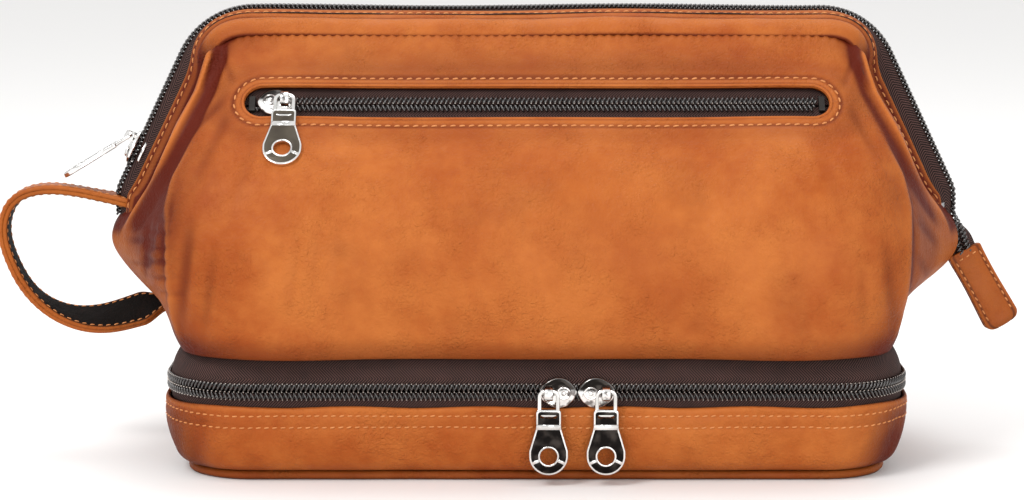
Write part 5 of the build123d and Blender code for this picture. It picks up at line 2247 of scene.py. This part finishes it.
@dataclass
class Tail:
    """The free end of the mouth's zip: a tape with teeth that turns to face the front, and a folded tab."""

    start: Spot = (149.7, 0.0, 90.0)
    droop: float = math.radians(69.44)
    tab_droop: float = math.radians(60.4)
    tab_start: float = 17.2
    tab_length: float = 31.0
    tab_half_width: float = 6.4
    tape_half_width: float = 5.2

    def rail(self) -> Rail:
        """The line from the mouth's foot to the tab's end, and the width's way, which turns by a quarter.

        Returns:
            The line.
        """
        down = np.array([math.cos(self.droop), 0.0, -math.sin(self.droop)])
        tab = np.array([math.cos(self.tab_droop), 0.0, -math.sin(self.tab_droop)])
        start = np.array(self.start)
        bend = start + down * 17.5
        corners = np.array([start + 0.3 * down, start + 8.0 * down, bend - 1.0 * down + 0.4 * tab,
                            bend + 7.0 * tab, bend + 16.0 * tab + [0.0, -0.5, 0.0],
                            bend + self.tab_length * tab])
        run = lengths(corners)
        line = resample(spline(run, corners, np.linspace(0.0, run[-1], 200)), 160)
        way = unit(np.gradient(line, axis=0))
        out = np.stack([-way[:, 2], np.zeros(len(way)), way[:, 0]], axis=1)
        turn = (math.radians(82.0) * ease(1.0, 15.0, lengths(line)))[:, None]
        side = np.array([0.0, -1.0, 0.0])
        return Rail(line, out * np.cos(turn) + side * np.sin(turn), side * np.cos(turn) - out * np.sin(turn))

    def tape(self) -> Shell:
        """The tape, slightly cupped about its teeth.

        Returns:
            The closed tape.
        """
        at = np.linspace(0.2, 21.0, 60)[:, None]
        across = np.linspace(-self.tape_half_width, self.tape_half_width, 15)[None]
        rise = 0.05 * across**2 - 0.2
        return Shell.grid(self.rail().place(at, -rise, across)).thick(0.5)

    def teeth(self) -> Shell:
        """Both rows of teeth on the tape."""
        rows = ((-1.5, 0.0), (1.5, 0.5))
        return Shell.join([Coil().wind(self.rail(), 0.3, 18.5, 1.15, side, 0.95, 1.55, phase, 0.1)
                           for side, phase in rows])

    def tab(self) -> Shell:
        """The tab: a leather strip folded over the tape's end, thicker at the fold and pressed at its edges.

        Returns:
            The closed tab.
        """
        rail = self.rail()
        begin = self.tab_start
        at = np.linspace(begin, rail.length, 90)
        line = rail.place(at, 0.0, 0.0)
        out = rail.outward_at(at)
        from_start, from_end = at - begin, rail.length - at
        half = self.tab_half_width + 0.25 * np.sin(at / 6.0)
        for radius, distance in ((3.2, from_end), (0.8, from_start)):
            past = clamp(1.0 - distance / radius)
            half = half - radius + radius * np.sqrt(clamp(1.0 - past**2))
        thick = 2.0 + 0.35 * hump(rail.length - 1.0, 2.0, at) - 0.35 * hump(begin, 2.0, at)
        section = np.array([[0.80, 1.0], [0.97, 0.955], [1.0, 0.86], [0.84, 0.76], [1.0, 0.64],
                            [1.10, 0.30], [1.13, 0.0]])
        half_ring = np.concatenate([section, (section * [1.0, -1.0])[::-1][1:]])
        slit = np.array([[0.35, -1.02], [0.10, -0.965], [-0.10, -0.965], [-0.35, -1.02]])
        ring = np.concatenate([half_ring, slit, (half_ring * [-1.0, 1.0])[::-1], -slit])
        shell = sweep(line, out, ring, np.stack([thick, half], axis=1))
        depth, across = np.tile(np.abs(ring[:, 0]), len(at)), np.tile(np.abs(ring[:, 1]), len(at))
        end = np.repeat(ease(3.0, 0.0, from_end), len(ring))
        burnish = 0.18 + 0.55 * hump(0.78, 0.07, across) + 0.5 * ease(0.5, 0.0, depth) + 0.3 * end
        rub = 0.6 * hump(0.95, 0.05, across) + 0.3 * end
        shell.fields = {"burnish": clamp(burnish), "rub": clamp(rub)}
        return shell

    def stitch_rows(self) -> Shell:
        """The rows along the tab's edges and across its top, on both faces.

        Returns:
            The stitches.
        """
        rail = self.rail()
        rows = []
        for face in (-1.0, 1.0):
            for edge in (-0.76, 0.76):
                at = np.linspace(19.4, rail.length - 3.4, 60)
                line = rail.place(at, face * 1.72, edge * self.tab_half_width)
                rows.append(stitches(line, face * rail.outward_at(at), 2.7, radius=0.32, lift=0.10))
            across = np.linspace(-0.62, 0.62, 20) * self.tab_half_width
            at = np.full(20, 19.6)
            rows.append(stitches(rail.place(at, face * 1.95, across), face * rail.outward_at(at), 2.6,
                                 radius=0.32, lift=0.10))
        return Shell.join(rows)

    def build(self) -> None:
        """Makes the tail's pieces."""
        body = "zip_tail"
        add_piece("tail_zip_tape", self.tape(), Finish.TAPE, body, "tail_tape")
        add_piece("tail_zip_teeth", self.teeth(), Finish.TEETH, body, "tail_coil")
        add_piece("tail_leather_tab", self.tab(), Finish.STRAP, body, "zip_end_tab")
        add_piece("tail_tab_stitches", self.stitch_rows(), Finish.THREAD, body, slot="strap_leather")


@dataclass
class KeptParts:
    """The pack's own solids whose shapes are right: they only get a material."""

    finishes: tuple[tuple[str, Finish], ...] = (
        ("base_board", Finish.BOARD), ("divider_board", Finish.BOARD), ("frame_rivets", Finish.STEEL),
        ("base_zip_stops", Finish.FITTING), ("pocket_zip_stops", Finish.FITTING))

    def build(self) -> None:
        """Gives each its material."""
        for name, finish in self.finishes:
            for piece in bpy.data.objects:
                if piece.type == "MESH" and piece.name.split(".")[0] == name:
                    for slot in piece.material_slots:
                        slot.material = finish.material()


@dataclass
class Studio:
    """A pale floor, a white surrounding and three soft lights."""

    floor_half: float = 6.0
    floor_tone: Tone = (0.86, 0.85, 0.84)
    brightness: float = 0.96
    aim: Spot = (0.0, 0.0, 0.08)

    def floor(self) -> None:
        """A large pale floor with a faint unevenness in its roughness."""
        half = self.floor_half
        mesh = bpy.data.meshes.new("studio_floor")
        mesh.from_pydata([(-half, -half, 0.0), (half, -half, 0.0), (half, half, 0.0), (-half, half, 0.0)],
                         [], [(0, 1, 2, 3)])
        floor = bpy.data.objects.new("studio_floor", mesh)
        bpy.context.scene.collection.objects.link(floor)
        mesh.materials.append(Moulded("pale_paper", self.floor_tone, self.floor_tone, 0.8, 3.0, 0.01).make())

    def light(self, name: str, place: Vector, aim: Vector, size: float, power: float) -> None:
        """One square area light that points from place to aim.

        Args:
            name: the lamp's name.
            place: where it stands.
            aim: where it points.
            size: its edge, in metres.
            power: its power, in watts.
        """
        lamp = bpy.data.lights.new(name, "AREA")
        lamp.shape, lamp.size, lamp.energy = "SQUARE", size, power
        piece = bpy.data.objects.new(name, lamp)
        piece.location = place
        piece.rotation_euler = (aim - place).to_track_quat("-Z", "Y").to_euler()
        bpy.context.scene.collection.objects.link(piece)

    def build(self) -> None:
        """Makes the floor, the surrounding and the lights."""
        self.floor()
        world = bpy.data.worlds.new("studio")
        world.use_nodes = True
        shade = world.node_tree.nodes["Background"]
        shade.inputs["Color"].default_value = (1.0, 1.0, 1.0, 1.0)
        shade.inputs["Strength"].default_value = self.brightness
        bpy.context.scene.world = world
        middle = Vector(self.aim)
        self.light("key", Vector((-0.9, -1.2, 1.5)), middle, 0.7, 20.0)
        self.light("fill", Vector((0.5, -1.6, 0.30)), middle, 0.9, 9.0)
        self.light("top", Vector((0.1, 0.3, 1.6)), middle, 0.8, 8.0)


@dataclass
class Photographer:
    """The camera, at the photograph's own angle."""

    place: Spot = (-0.0087, -1.0, 0.2136)
    pitch: float = math.radians(7.97)
    lens: float = 97.3
    film: float = 36.0

    def build(self) -> None:
        """Makes the camera and sets how bright tones are shown."""
        camera = bpy.data.cameras.new("camera")
        camera.lens, camera.sensor_width = self.lens, self.film
        camera.dof.use_dof = False
        piece = bpy.data.objects.new("camera", camera)
        piece.location = self.place
        piece.rotation_euler = (0.5 * math.pi - self.pitch, 0.0, 0.0)
        bpy.context.scene.collection.objects.link(piece)
        bpy.context.scene.camera = piece
        bpy.context.scene.view_settings.view_transform = "Standard"


def main() -> None:
    """Builds the camera, the light and every part of the bag in order."""
    parts = (Photographer(), Studio(), BaseBox(), UpperBody(), Mouth(), Pocket(), *PULLS, Strap(), Tail(),
             KeptParts())
    for part in parts:
        log.info("building %s", type(part).__name__)
        part.build()


if __name__ == "__main__":
    main()
